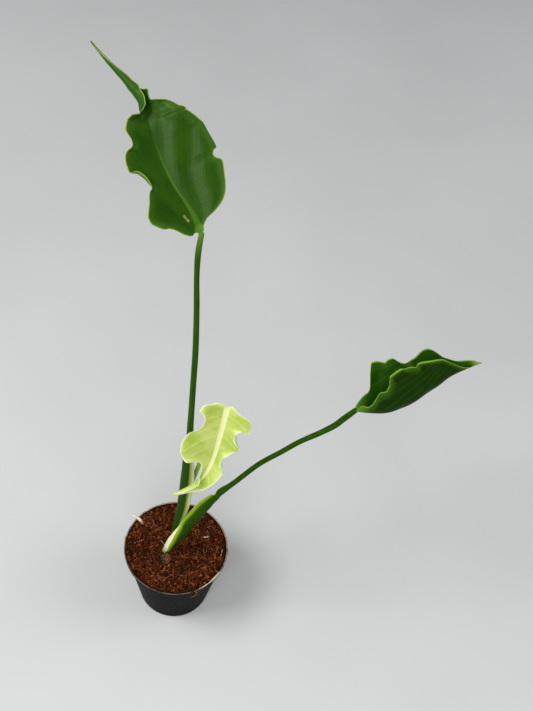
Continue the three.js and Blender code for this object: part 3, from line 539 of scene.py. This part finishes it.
class Look:
    """A procedural material made of a few linked nodes."""

    def __init__(self, name, **inputs):
        self.material = bpy.data.materials.new(name)
        self.material.use_nodes = True
        self.tree = self.material.node_tree
        self.shader = self.tree.nodes["Principled BSDF"]
        for key, value in inputs.items():
            self.shader.inputs[key.replace("_", " ")].default_value = value

    def node(self, kind, **settings):
        made = self.tree.nodes.new(kind)
        for key, value in settings.items():
            setattr(made, key, value)
        return made

    def link(self, source, target):
        self.tree.links.new(source, target)

    def attribute(self, name):
        return self.node("ShaderNodeAttribute", attribute_name=name).outputs["Fac"]

    def position(self):
        return self.node("ShaderNodeTexCoord").outputs["Object"]

    def axis(self, letter):
        made = self.node("ShaderNodeSeparateXYZ")
        self.link(self.position(), made.inputs[0])
        return made.outputs[letter]

    def noise(self, scale, detail=3, roughness=0.55, vector=None):
        made = self.node("ShaderNodeTexNoise")
        for key, value in (("Scale", scale), ("Detail", detail), ("Roughness", roughness)):
            made.inputs[key].default_value = value
        self.link(vector or self.position(), made.inputs["Vector"])
        return made.outputs["Fac"]

    def stretched(self, scale):
        made = self.node("ShaderNodeMapping")
        made.inputs["Scale"].default_value = scale
        self.link(self.position(), made.inputs["Vector"])
        return made.outputs["Vector"]

    def ramp(self, factor, *stops):
        """Colour read from stops of (place from 0 to 1, colour)."""
        made = self.node("ShaderNodeValToRGB")
        elements = made.color_ramp.elements
        while len(elements) < len(stops):
            elements.new(0.5)
        for element, (place, colour) in zip(elements, stops):
            element.position = place
            element.color = (*colour, 1)
        self.link(factor, made.inputs["Fac"])
        return made.outputs["Color"]

    def spread(self, factor, low, high, to_low=0.0, to_high=1.0):
        """A number carried from one range to another, held at the ends."""
        made = self.node("ShaderNodeMapRange", clamp=True, interpolation_type="SMOOTHSTEP")
        for key, value in zip(("From Min", "From Max", "To Min", "To Max"), (low, high, to_low, to_high)):
            made.inputs[key].default_value = value
        self.link(factor, made.inputs["Value"])
        return made.outputs["Result"]

    def near(self, place_mm, reach_mm):
        """1 at a place, falling to 0 at its reach."""
        made = self.node("ShaderNodeVectorMath", operation="DISTANCE")
        made.inputs[1].default_value = [v * MM for v in place_mm]
        self.link(self.position(), made.inputs[0])
        return self.spread(made.outputs["Value"], reach_mm * MM, 0.4 * reach_mm * MM)

    def math(self, operation, a, b=None):
        made = self.node("ShaderNodeMath", operation=operation)
        for socket, value in zip(made.inputs, (a, b)):
            if isinstance(value, (int, float)):
                socket.default_value = value
            elif value is not None:
                self.link(value, socket)
        return made.outputs["Value"]

    def times(self, a, b):
        return self.math("MULTIPLY", a, b)

    def mix(self, factor, a, b):
        """Colour a where the factor is 0, and b where it is 1."""
        made = self.node("ShaderNodeMix", data_type="RGBA")
        for socket, value in zip((made.inputs[0], made.inputs[6], made.inputs[7]), (factor, a, b)):
            if isinstance(value, tuple):
                socket.default_value = (*value, 1)
            else:
                self.link(value, socket)
        return made.outputs[2]

    def paint(self, colour, roughness=None, height=None, bump=0.3, bump_mm=0.3):
        self.link(colour, self.shader.inputs["Base Color"])
        if roughness is not None:
            self.link(roughness, self.shader.inputs["Roughness"])
        if height is not None:
            made = self.node("ShaderNodeBump")
            made.inputs["Strength"].default_value = bump
            made.inputs["Distance"].default_value = bump_mm * MM
            self.link(height, made.inputs["Height"])
            self.link(made.outputs["Normal"], self.shader.inputs["Normal"])
        return self.material


def leaf_look(name, tone):
    """Waxy leaf: upper and lower side, pale rib and margin, slanting veins with finer ones between, painted
    light towards the margin and painted highlights on curled edges.
    """
    look = Look(name, Specular_IOR_Level=tone["specular"], Specular_Tint=GREEN_SHEEN)
    out, edge = look.math("ABSOLUTE", look.attribute("out_mm")), look.attribute("edge_mm")
    under, row = look.attribute("under"), look.attribute("row")
    mottle = look.spread(look.noise(45, 4), 0.35, 0.65)
    colour = look.mix(under, look.mix(mottle, *tone["upper"]), look.mix(mottle, *tone["lower"]))
    slant = look.times(out, look.spread(row, 0, 1, *tone["slant"]))
    slanted = look.math("SUBTRACT", look.attribute("along_mm"), slant)
    slanted = look.math("ADD", slanted, look.times(look.noise(20, 2), tone["wander_mm"]))
    fade = look.times(look.spread(out, 0.5, 5), look.spread(edge, 0.5, 5))
    vein_colour = look.mix(under, tone["vein"], tone["vein_under"])
    veins = []
    for gap, width, strength in tone["veins"]:
        beside = look.math("PINGPONG", look.math("DIVIDE", slanted, gap), 0.5)
        veins.append(look.times(look.spread(beside, width / gap, 0), fade))
        colour = look.mix(look.times(veins[-1], strength), colour, vein_colour)
    # Painted light: the blade lightened towards its margin, where it curves up into the light.
    edge_light = look.times(look.spread(edge, tone["edge_light_mm"], 0), look.spread(under, 0, 1, *tone["edge_light_share"]))
    colour = look.mix(edge_light, colour, tone["edge_light"])
    # Painted highlight on the edges that curl, lighter the more they curl.
    rolled = look.spread(look.attribute("rolled"), 0.1, 1, 0, tone["rolled_share"])
    colour = look.mix(rolled, colour, tone["rolled"])
    rib_half = look.spread(row, 0, tone["rib_taper"], *tone["rib_mm"])
    rib = look.spread(look.math("DIVIDE", out, rib_half), 1.2, 0.5)
    rib = look.times(rib, look.spread(row, tone["rib_fade"], 0.5 * tone["rib_fade"]))
    colour = look.mix(rib, colour, tone["rib"])
    rim = look.spread(edge, tone["rim_mm"], 0.15)
    colour = look.mix(look.times(rim, tone["rim_strength"]), colour, tone["rim"])
    colour = look.mix(look.spread(row, tone["base_to"], 0), colour, tone["base"])
    colour = look.mix(look.spread(row, tone["tip_from"], 1), colour, tone["tip"])
    for place, reach, spot in tone["spots"]:
        colour = look.mix(look.near(place, reach), colour, spot)
    roughness = look.spread(look.noise(900, 2), 0.3, 0.7, tone["roughness"] - 0.06, tone["roughness"] + 0.06)
    height = look.math("ADD", look.noise(400, 3), look.times(veins[0], -0.7))
    height = look.math("ADD", height, look.times(veins[1], -0.2))
    return look.paint(colour, roughness, height, bump=0.15, bump_mm=0.3)


def stalk_look(name, tone):
    """Smooth stalk, changing at the joint under the blade and at the base, with pale papery wings."""
    look = Look(name, Specular_IOR_Level=STALK_SPECULAR, Specular_Tint=GREEN_SHEEN)
    around, run = look.math("ABSOLUTE", look.attribute("round_deg")), look.attribute("run_mm")
    opened = look.spread(look.attribute("open"), 0.2, 0.9)
    streaks = look.noise(260, 3, vector=look.stretched((1, 1, 0.08)))
    colour = look.mix(look.spread(streaks, 0.3, 0.7), *tone["body"])
    colour = look.mix(look.spread(run, *tone["joint_mm"]), colour, tone["joint"])
    colour = look.mix(look.times(opened, 0.6), colour, tone["sheath"])
    past_wing = look.math("SUBTRACT", around, look.spread(run, *tone["wing_run"], *tone["wing_deg"]))
    flank = look.times(look.spread(past_wing, -tone["flank_deg"], -3), opened)
    colour = look.mix(flank, colour, tone["flank"])
    papery = look.mix(look.spread(streaks, 0.35, 0.65), *tone["wing"])
    lined = look.times(look.times(look.attribute("inside"), opened), look.spread(run, *tone["lined_mm"]))
    wing = look.math("MAXIMUM", look.times(look.spread(past_wing, 0, 6), opened), lined)
    colour = look.mix(wing, colour, papery)
    colour = look.mix(look.spread(run, tone["base_mm"], 0), colour, tone["base"])
    flecks = look.times(look.spread(look.noise(420, 1), 0.76, 0.8), 0.7)
    colour = look.mix(flecks, colour, PALE_FLECK)
    roughness = look.spread(streaks, 0.3, 0.7, STALK_ROUGHNESS - 0.05, STALK_ROUGHNESS + 0.08)
    return look.paint(colour, roughness, streaks, bump=0.15, bump_mm=0.2)


def pot_look():
    """Black plastic with a little dust, its rim's edge painted pale as a highlight, more so at the back."""
    look = Look("black_plastic", Specular_IOR_Level=0.02)
    grain = look.noise(700, 4)
    black, dusty, rim_highlight_colour = (0.0015, 0.0015, 0.0015), (0.004, 0.0035, 0.003), (0.6, 0.5, 0.4)
    colour = look.mix(look.spread(look.noise(45, 5), 0.5, 0.8, 0, 0.6), black, dusty)
    # Painted highlight: the rim's edge made pale where it catches the light, stronger towards the back.
    rim = look.spread(look.axis("Z"), (POT_HEIGHT - 0.7) * MM, (POT_HEIGHT - 0.1) * MM)
    rim_highlight = look.times(rim, look.spread(look.noise(160, 3), 0.3, 0.6, 0.3, 1))
    rim_highlight = look.times(rim_highlight, look.spread(look.axis("Y"), -30 * MM, 20 * MM, 0.25, 1))
    colour = look.mix(rim_highlight, colour, rim_highlight_colour)
    return look.paint(colour, look.spread(grain, 0.3, 0.7, 0.38, 0.55), grain, bump=0.1, bump_mm=0.15)


def soil_look():
    look = Look("coir_soil", Specular_IOR_Level=0.05)
    patches = look.noise(120, 5, 0.7)
    fine = look.noise(900, 4, 0.7)
    colour = look.ramp(
        patches, (0.3, (0.006, 0.0015, 0.0006)), (0.5, (0.032, 0.008, 0.0028)),
        (0.62, (0.08, 0.019, 0.006)), (0.8, (0.15, 0.042, 0.013)),
    )
    colour = look.mix(look.spread(fine, 0.62, 0.75), colour, (0.22, 0.065, 0.02))
    height = look.math("ADD", patches, look.times(fine, 0.6))
    return look.paint(colour, look.spread(fine, 0, 1, 0.75, 0.95), height, bump=0.8, bump_mm=1.2)


def crumb_look(name, dark, light, pale):
    look = Look(name, Specular_IOR_Level=0.05)
    colour = look.ramp(look.attribute("tint"), (0.0, dark), (0.6, light), (1.0, pale))
    fine = look.noise(1500, 3)
    colour = look.mix(look.spread(fine, 0.4, 0.7, 0, 0.5), colour, dark)
    return look.paint(colour, look.spread(fine, 0, 1, 0.7, 0.95), fine, bump=0.5, bump_mm=0.3)


def stem_look():
    look = Look("stem_skin", Specular_IOR_Level=0.4)
    blotch = look.noise(300, 4)
    colour = look.mix(look.spread(blotch, 0.4, 0.6), (0.2, 0.36, 0.04), (0.33, 0.46, 0.1))
    in_soil = look.spread(look.axis("Z"), 81.8 * MM, 80.5 * MM)
    colour = look.mix(in_soil, colour, (0.1, 0.05, 0.03))
    return look.paint(colour, look.spread(blotch, 0, 1, 0.45, 0.6), blotch, bump=0.3, bump_mm=0.3)


def stub_look():
    """Dry bark, warm on its right side, its left side painted dark as the shade in a hollow."""
    look = Look("dry_stub", Specular_IOR_Level=0.1)
    streaks = look.noise(300, 5, 0.7, look.stretched((1, 1, 0.3)))
    warm = look.ramp(
        streaks, (0.3, (0.03, 0.008, 0.003)), (0.5, (0.16, 0.05, 0.018)),
        (0.65, (0.34, 0.13, 0.05)), (0.8, (0.5, 0.32, 0.16)),
    )
    # Painted shade: the left side darkened as the shade inside a hollow, with a few grey-olive streaks.
    hollow_shade = look.ramp(
        streaks, (0.35, (0.01, 0.006, 0.003)), (0.55, (0.06, 0.045, 0.02)), (0.75, (0.18, 0.17, 0.08)),
    )
    colour = look.mix(look.spread(look.axis("X"), -10.5 * MM, -7 * MM), hollow_shade, warm)
    return look.paint(colour, look.spread(streaks, 0, 1, 0.7, 0.95), streaks, bump=0.8, bump_mm=0.8)


def root_look():
    """Cream skin, stained where the root leaves the soil."""
    look = Look("root_skin", Specular_IOR_Level=0.3)
    blotch = look.noise(420, 4)
    colour = look.ramp(blotch, (0.3, (0.6, 0.46, 0.28)), (0.6, (0.86, 0.78, 0.58)), (0.8, (0.95, 0.9, 0.76)))
    colour = look.mix(look.near((-39.5, 22.8, 84), 4.5), colour, (0.5, 0.22, 0.13))
    return look.paint(colour, look.spread(blotch, 0, 1, 0.55, 0.8), blotch, bump=0.4, bump_mm=0.3)


# What each leaf and stalk look is made of: linear colours, with lengths in mm or as shares of the blade.
# Veins are (gap, width, strength), spots (place, reach, colour); lists of two go from dark to light,
# from stalk to tip or from the upper side to the lower
# Of these, the wide band lightened inside each margin and the lightening on curled edges are painted light
# and painted highlights; the thin rim is the margin's own colour.
GREEN_SHEEN = (0.8, 1, 0.55, 1)
TALL_TONE = {
    "upper": ((0.013, 0.052, 0.001), (0.019, 0.068, 0.002)),
    "lower": ((0.014, 0.06, 0.003), (0.022, 0.08, 0.005)),
    "slant": (2.75, 2.75), "wander_mm": 14, "veins": ((13, 2.4, 0.16), (3.3, 1.1, 0.05)),
    "vein": (0.035, 0.09, 0.006), "vein_under": (0.06, 0.14, 0.02),
    "edge_light": (0.05, 0.13, 0.008), "edge_light_mm": 9, "edge_light_share": (0.4, 0.3),
    "rolled": (0.07, 0.17, 0.01), "rolled_share": 0.8,
    "rib": (0.05, 0.125, 0.008), "rib_mm": (3, 1), "rib_taper": 0.22, "rib_fade": 0.56,
    "rim": (0.3, 0.43, 0.06), "rim_mm": 1.1, "rim_strength": 0.85,
    "base": (0.06, 0.16, 0.012), "base_to": 0.01, "tip": (0.2, 0.1, 0.04), "tip_from": 0.97,
    "spots": (
        ((2, 46.5, 493.2), 7, (0.07, 0.18, 0.01)),
        ((-12.3, 53.4, 499), 1.5, (0.22, 0.2, 0.07)), ((-11.2, 52.5, 498.4), 1.3, (0.22, 0.2, 0.07)),
        ((-10.1, 51.7, 498), 1.3, (0.2, 0.18, 0.06)), ((-9, 51, 497.4), 1.5, (0.28, 0.24, 0.1)),
    ),
    "roughness": 0.38, "specular": 0.14,
}
SIDE_TONE = {
    "upper": ((0.006, 0.038, 0.0004), (0.011, 0.058, 0.0008)),
    # The lower side's colours are its own colour darkened as painted shade, since it faces down, away from
    # the light.
    "lower": ((0.006, 0.025, 0.0006), (0.01, 0.036, 0.001)),
    "slant": (0.9, 3.2), "wander_mm": 9, "veins": ((13, 2, 0.3), (3, 0.9, 0.25)),
    "vein": (0.03, 0.12, 0.004), "vein_under": (0.03, 0.09, 0.008),
    "edge_light": (0.05, 0.165, 0.008), "edge_light_mm": 13, "edge_light_share": (0.25, 0.7),
    "rolled": (0.17, 0.34, 0.03), "rolled_share": 0.95,
    "rib": (0.05, 0.16, 0.01), "rib_mm": (1.6, 0.6), "rib_taper": 1, "rib_fade": 0.9,
    "rim": (0.22, 0.42, 0.045), "rim_mm": 1.7, "rim_strength": 0.95,
    "base": (0.1, 0.27, 0.02), "base_to": 0.1, "tip": (0.3, 0.35, 0.08), "tip_from": 0.9,
    "spots": (), "roughness": 0.38, "specular": 0.05,
}
NEW_TONE = {
    "upper": ((0.44, 0.58, 0.08), (0.66, 0.75, 0.2)), "lower": ((0.42, 0.56, 0.08), (0.58, 0.7, 0.18)),
    "slant": (0.3, 1.1), "wander_mm": 6, "veins": ((11.5, 1.5, 0.34), (2.9, 0.9, 0.08)),
    "vein": (0.8, 0.86, 0.34), "vein_under": (0.75, 0.82, 0.36),
    "edge_light": (0.86, 0.93, 0.42), "edge_light_mm": 3, "edge_light_share": (0.35, 0.35),
    "rolled": (0.9, 0.95, 0.5), "rolled_share": 0.45,
    "rib": (0.99, 1, 0.48), "rib_mm": (2.8, 1.2), "rib_taper": 1, "rib_fade": 1.2,
    "rim": (1, 1, 0.68), "rim_mm": 1, "rim_strength": 0.9,
    "base": (0.8, 0.86, 0.32), "base_to": 0.05, "tip": (0.75, 0.75, 0.3), "tip_from": 0.9,
    "spots": (), "roughness": 0.42, "specular": 0.05,
}
PALE_FLECK = (0.3, 0.36, 0.12)
STALK_ROUGHNESS, STALK_SPECULAR = 0.42, 0.05
TALL_STALK_TONE = {
    "sheath": (0.012, 0.042, 0.0006), "body": ((0.018, 0.07, 0.001), (0.03, 0.1, 0.003)),
    "joint": (0.09, 0.2, 0.02), "joint_mm": (385, 412), "flank": (0.3, 0.39, 0.06), "flank_deg": 22,
    "wing": ((0.5, 0.54, 0.28), (0.72, 0.74, 0.46)), "wing_deg": (98, 98), "wing_run": (0, 1),
    "lined_mm": (400, 300), "base": (0.6, 0.6, 0.3), "base_mm": 14,
}
SIDE_STALK_TONE = {
    "sheath": (0.017, 0.055, 0.0006), "body": ((0.015, 0.058, 0.0006), (0.024, 0.082, 0.0015)),
    "joint": (0.05, 0.1, 0.014), "joint_mm": (285, 305), "flank": (0.32, 0.47, 0.015), "flank_deg": 44,
    "wing": ((0.88, 0.87, 0.5), (0.98, 0.96, 0.66)), "wing_deg": (64, 126), "wing_run": (0, 74),
    "lined_mm": (60, 40), "base": (0.7, 0.7, 0.32), "base_mm": 3,
}
NEW_STALK_TONE = {
    "sheath": (0.2, 0.3, 0.02), "body": ((0.2, 0.3, 0.02), (0.28, 0.4, 0.035)),
    "joint": (0.6, 0.7, 0.16), "joint_mm": (270, 330), "flank": (0.3, 0.42, 0.05), "flank_deg": 4,
    "wing": ((0.5, 0.5, 0.35), (0.6, 0.6, 0.4)), "wing_deg": (200, 200), "wing_run": (0, 1),
    "lined_mm": (2, 1), "base": (0.6, 0.65, 0.35), "base_mm": 30,
}


# Pot, soil and stem

def wall_radius(height):
    return BASE_RADIUS + (WALL_TOP_RADIUS - BASE_RADIUS) * height / POT_HEIGHT


def soil_relief(x, y):
    broad = np.sin(0.21 * x + 1) * np.cos(0.18 * y - 0.6)
    fine = np.sin(0.63 * x - 0.35 * y) * np.cos(0.55 * y + 0.25 * x + 2)
    return SOIL_RELIEF * (0.6 * broad + 0.5 * fine)


def crumble(x, y):
    """Small lumps of the soil's surface, in mm."""
    big = noise.noise(Vector((x * 0.22, y * 0.22, 3)))
    small = noise.noise(Vector((x * 0.7, y * 0.7, 9)))
    grit = noise.noise(Vector((x * 1.6, y * 1.6, 5)))
    return 1.1 * big + 0.9 * small + 0.35 * grit


def soil_height(x, y):
    """Height of the soil, banked up to the wall and heaped round the stem, and calmer at its edge."""
    reach = math.hypot(x, y)
    bank = SOIL_RISE * (reach / WALL_TOP_RADIUS) ** 3
    calm = min(1, max(0.2, (SOIL_EDGE - reach) / CALM_WIDTH))
    beside = math.hypot(x - STEM_FOOT[0], y - STEM_FOOT[1])
    in_front = min(1, max(0.1, (x - STEM_FOOT[0] + MOUND_FRONT) / MOUND_FRONT))
    mound = MOUND * math.exp(-((beside - MOUND_REACH) / MOUND_WIDTH) ** 2) * in_front
    lumpy = soil_relief(x, y) * (1 - 0.6 * bank / SOIL_RISE) + crumble(x, y) * calm
    return SOIL_TOP + bank + mound + lumpy


def turned_faces(rings, segments):
    """Quads between rings of points round an axis, in order."""
    faces = []
    for i in range(rings - 1):
        for j in range(segments):
            k = (j + 1) % segments
            faces.append((i * segments + j, i * segments + k, (i + 1) * segments + k, (i + 1) * segments + j))
    return faces


def closed_faces(rings, segments):
    """Turned faces with a lid on the first and on the last ring."""
    lids = [tuple(range(segments - 1, -1, -1)), tuple(range((rings - 1) * segments, rings * segments))]
    return turned_faces(rings, segments) + lids


def make_soil(material):
    lip_foot = POT_HEIGHT - LIP_DEPTH
    inset = WALL + GAP + 0.1
    angle = 2 * np.pi * np.arange(SOIL_SEGMENTS) / SOIL_SEGMENTS
    foot = (
        (10, FLOOR + GAP), (wall_radius(FLOOR) - inset, FLOOR + GAP),
        (wall_radius(lip_foot) - inset, lip_foot + 0.4), (SOIL_EDGE - 0.3, lip_foot + 2),
    )
    points = [(radius * math.cos(a), radius * math.sin(a), height) for radius, height in foot for a in angle]
    radii = SOIL_EDGE * np.linspace(1, 0, SOIL_RINGS)[:-1]
    for radius in radii:
        for a in angle:
            x, y = radius * math.cos(a), radius * math.sin(a)
            points.append((x, y, soil_height(x, y)))
    rings = len(foot) + len(radii)
    last, start = len(points), (rings - 1) * SOIL_SEGMENTS
    points.append((0, 0, soil_height(0, 0)))
    faces = turned_faces(rings, SOIL_SEGMENTS)
    faces += [(start + j, start + (j + 1) % SOIL_SEGMENTS, last) for j in range(SOIL_SEGMENTS)]
    faces.append(tuple(range(SOIL_SEGMENTS - 1, -1, -1)))
    new_piece("soil_surface", "soil", points, faces, material)


def turned_piece(name, node, outline, foot, material, wobble):
    """Turned outline of (radius, height) points with an uneven skin."""
    line = drawn_line(outline)
    angle = 2 * np.pi * np.arange(TURNED_SEGMENTS) / TURNED_SEGMENTS
    points = []
    for radius, height in line:
        for a in angle:
            swell = 1 + wobble * noise.noise(Vector((2 * math.cos(a), 2 * math.sin(a), height * 0.25)))
            r = max(radius, 0.02) * swell
            points.append((foot[0] + r * math.cos(a), foot[1] + r * math.sin(a), foot[2] + height))
    new_piece(name, node, points, closed_faces(len(line), TURNED_SEGMENTS), material)


# Crumbs and fibres

class Heap:
    """Many small closed shapes gathered into one mesh, each with its own tint."""

    def __init__(self):
        self.points, self.faces, self.tints = [], [], []

    def add(self, points, faces, tint):
        first = len(self.points)
        self.points += points
        self.faces += [tuple(first + i for i in face) for face in faces]
        self.tints += [tint] * len(points)


def free_place(rng, reach):
    """A random place on the soil, clear of the stem and the stub."""
    while True:
        radius, turn = reach * math.sqrt(rng.random()), 2 * math.pi * rng.random()
        x, y = radius * math.cos(turn), radius * math.sin(turn)
        standing = ((STEM_FOOT, STEM_RADIUS), (STUB_FOOT, STUB_RADIUS))
        if all(math.hypot(x - foot[0], y - foot[1]) >= thick + CLEARANCE for foot, thick in standing):
            return x, y


def crumbs(rng):
    """Small angular lumps lying on the soil."""
    phi = (1 + 5 ** 0.5) / 2
    corners = unit(np.array([
        (0, 1, phi), (0, -1, phi), (0, 1, -phi), (0, -1, -phi), (1, phi, 0), (-1, phi, 0),
        (1, -phi, 0), (-1, -phi, 0), (phi, 0, 1), (-phi, 0, 1), (phi, 0, -1), (-phi, 0, -1),
    ], float))
    triangles = [
        (0, 1, 8), (0, 8, 4), (0, 4, 5), (0, 5, 9), (0, 9, 1), (1, 9, 7), (1, 7, 6), (1, 6, 8), (8, 6, 10),
        (8, 10, 4), (4, 10, 2), (4, 2, 5), (5, 2, 11), (5, 11, 9), (9, 11, 7), (7, 11, 3), (7, 3, 6),
        (6, 3, 10), (10, 3, 2), (2, 3, 11),
    ]
    least, most = CRUMB_SIZE
    heap = Heap()
    for _ in range(CRUMBS):
        x, y = free_place(rng, CRUMB_REACH)
        scale = least + (most - least) * rng.random() ** 2.5
        shape = corners * (1 + 0.35 * (rng.random((12, 1)) - 0.5))
        width, height = 0.3 + 0.45 * rng.random(), CRUMB_FLATNESS * (0.6 + 0.6 * rng.random())
        shape = shape * scale * np.array([1, width, height])
        turn = np.array(Matrix.Rotation(2 * math.pi * rng.random(), 3, "Z") @
                        Matrix.Rotation(0.6 * (rng.random() - 0.5), 3, "X"))
        shape = shape @ turn.T + (x, y, soil_height(x, y) + 0.25 * scale)
        heap.add(shape.tolist(), triangles, rng.random())
    return heap


def thread(points, radius, sides=4):
    """Closed thin tube along points, as points and faces from 0."""
    p = np.asarray(points, float)
    tangent = unit(np.gradient(p, axis=0))
    across = unit(np.cross(tangent, (0.1, 0.2, 1)))
    upward = np.cross(across, tangent)
    taper = np.sin(np.linspace(0.15, math.pi - 0.15, len(p))) ** 0.4
    angle = 2 * np.pi * np.arange(sides) / sides
    ring = np.cos(angle)[None, :, None] * across[:, None] + np.sin(angle)[None, :, None] * upward[:, None]
    tube = p[:, None] + radius * taper[:, None, None] * ring
    return tube.reshape(-1, 3).tolist(), closed_faces(len(p), sides)


def soil_fibres(rng):
    """Curved coir threads strewn on the soil, and the larger fibres and bark bits laid one by one."""
    heap, made = Heap(), 0
    while made < FIBRES:
        x, y = free_place(rng, FIBRE_REACH)
        run = FIBRE_LENGTH[0] + (FIBRE_LENGTH[1] - FIBRE_LENGTH[0]) * rng.random() ** 2
        heading, bend = 2 * math.pi * rng.random(), 2.2 * (rng.random() - 0.5)
        rise = 0.8 * rng.random()
        line = []
        for i in range(FIBRE_POINTS):
            t = i / (FIBRE_POINTS - 1)
            line.append((x, y, soil_height(x, y) + 0.25 + rise * math.sin(math.pi * t)))
            x += run / (FIBRE_POINTS - 1) * math.cos(heading + bend * t)
            y += run / (FIBRE_POINTS - 1) * math.sin(heading + bend * t)
        if math.hypot(x, y) <= FIBRE_REACH + 1:
            radius = FIBRE_RADIUS[0] + (FIBRE_RADIUS[1] - FIBRE_RADIUS[0]) * rng.random()
            heap.add(*thread(line, radius), PALEST_FIBRE * rng.random())
            made += 1
    for places, radius, tint in LAID_FIBRES:
        line = [(x, y, soil_height(x, y) + 0.8 * radius) for x, y in drawn_line(places)]
        heap.add(*thread(line, radius, 8), tint)
    return heap


def outside_radius(height):
    """Where a thread rests: on top of the rim, on its outside, or lower down on the wall."""
    if height > POT_HEIGHT:
        return RIM_RADIUS - 0.8
    if height > POT_HEIGHT - LIP_DEPTH:
        return RIM_RADIUS + 0.3
    return wall_radius(height) + 0.4


def rim_fibres(rng):
    """Threads and a root lying on the rim or hanging over it, and short ones strewn along it."""
    strewn = []
    for _ in range(RIM_FIBRES):
        start = RIM_FROM + RIM_SWEEP * rng.random()
        turn = 3 + 6 * rng.random()
        high = POT_HEIGHT + 0.15 + 0.2 * rng.random()
        places = ((start, high), (start + turn / 2, high + 0.2), (start + turn, high))
        strewn.append((places, 0.14 + 0.14 * rng.random(), 0.45 + 0.4 * rng.random()))
    heap = Heap()
    for places, radius, tint in (*RIM_THREADS, *strewn):
        line = []
        for degrees, height in drawn_line(places, 6):
            turn, far = math.radians(degrees), outside_radius(height)
            line.append((far * math.cos(turn), far * math.sin(turn), height))
        heap.add(*thread(line, radius, 6), tint)
    return heap


def dress_soil():
    rng = np.random.default_rng(SEED)
    crumb_skin = crumb_look("coir_crumbs", (0.008, 0.002, 0.0008), (0.06, 0.014, 0.0045), (0.4, 0.1, 0.026))
    thread_skin = crumb_look("coir_threads", (0.04, 0.009, 0.003), (0.32, 0.08, 0.022), (0.85, 0.75, 0.52))
    threads, bits, on_rim = soil_fibres(rng), crumbs(rng), rim_fibres(rng)
    pieces = (
        ("soil_crumbs", bits, crumb_skin), ("soil_threads", threads, thread_skin),
        ("rim_threads", on_rim, thread_skin),
    )
    for name, heap, skin in pieces:
        new_piece(name, "soil", heap.points, heap.faces, skin, {"tint": heap.tints}, replaces=False)


# Camera, lights and floor

def set_camera():
    data = bpy.data.cameras.new("camera")
    data.lens = CAMERA_LENS
    data.clip_end = CAMERA_SIGHT
    camera = bpy.data.objects.new("camera", data)
    bpy.context.scene.collection.objects.link(camera)
    pitch, roll = math.radians(CAMERA_PITCH), math.radians(CAMERA_ROLL)
    forward = Vector((0, math.cos(pitch), -math.sin(pitch)))
    right = Vector((1, 0, 0))
    up = right.cross(forward)
    right, up = (right * math.cos(roll) + up * math.sin(roll), up * math.cos(roll) - right * math.sin(roll))
    turn = Matrix((right, up, -forward)).transposed().to_4x4()
    camera.matrix_world = Matrix.Translation(CAMERA_PLACE) @ turn
    bpy.context.scene.camera = camera


def area_light(name, place, target, side, power):
    data = bpy.data.lights.new(name, "AREA")
    data.shape, data.size, data.energy = "SQUARE", side, power
    light = bpy.data.objects.new(name, data)
    light.location = place
    light.rotation_euler = (Vector(target) - Vector(place)).to_track_quat("-Z", "Y").to_euler()
    bpy.context.scene.collection.objects.link(light)


def set_stage():
    mesh = bpy.data.meshes.new("floor")
    corners = [(x * FLOOR_REACH, y * FLOOR_REACH, 0) for x, y in ((-1, -1), (1, -1), (1, 1), (-1, 1))]
    mesh.from_pydata(corners, [], [(0, 1, 2, 3)])
    look = Look("pale_floor", Roughness=0.9, Specular_IOR_Level=0.1)
    mesh.materials.append(look.paint(look.mix(look.spread(look.noise(3, 2), 0.3, 0.7), *FLOOR_COLOURS)))
    floor = bpy.data.objects.new("floor", mesh)
    bpy.context.scene.collection.objects.link(floor)
    world = bpy.data.worlds.new("studio")
    world.use_nodes = True
    sky = world.node_tree.nodes["Background"]
    sky.inputs["Color"].default_value = SKY_COLOUR
    sky.inputs["Strength"].default_value = SKY_STRENGTH
    bpy.context.scene.world = world
    for light in LIGHTS:
        area_light(*light)
    bpy.context.scene.view_settings.view_transform = "Standard"


set_camera()
set_stage()

pot_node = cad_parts["pot"]
pot_node.data.materials.clear()
pot_node.data.materials.append(pot_look())

make_soil(soil_look())
dress_soil()
turned_piece("stem_top", "stem", STEM_OUTLINE, STEM_FOOT, stem_look(), STEM_WOBBLE)
turned_piece("stub_end", "old_stub", STUB_OUTLINE, STUB_FOOT, stub_look(), STUB_WOBBLE)
make_stalk("root_end", "root_tip", ROOT_TIP, root_look(), 60, 16)
for leaf, spec, tone, rows, columns in (
    ("tall", TALL_STALK, TALL_STALK_TONE, 320, 36),
    ("side", SIDE_STALK, SIDE_STALK_TONE, 300, 36),
    ("new", NEW_STALK, NEW_STALK_TONE, 260, 20),
):
    skin = stalk_look(leaf + "_stalk_skin", tone)
    make_stalk(leaf + "_leaf_stalk", leaf + "_stalk", spec, skin, rows, columns)
for leaf, spec, tone in (
    ("tall", TALL_BLADE, TALL_TONE), ("side", SIDE_BLADE, SIDE_TONE), ("new", NEW_BLADE, NEW_TONE),
):
    make_blade(leaf + "_leaf_blade", leaf + "_blade", spec, leaf_look(leaf + "_leaf", tone))
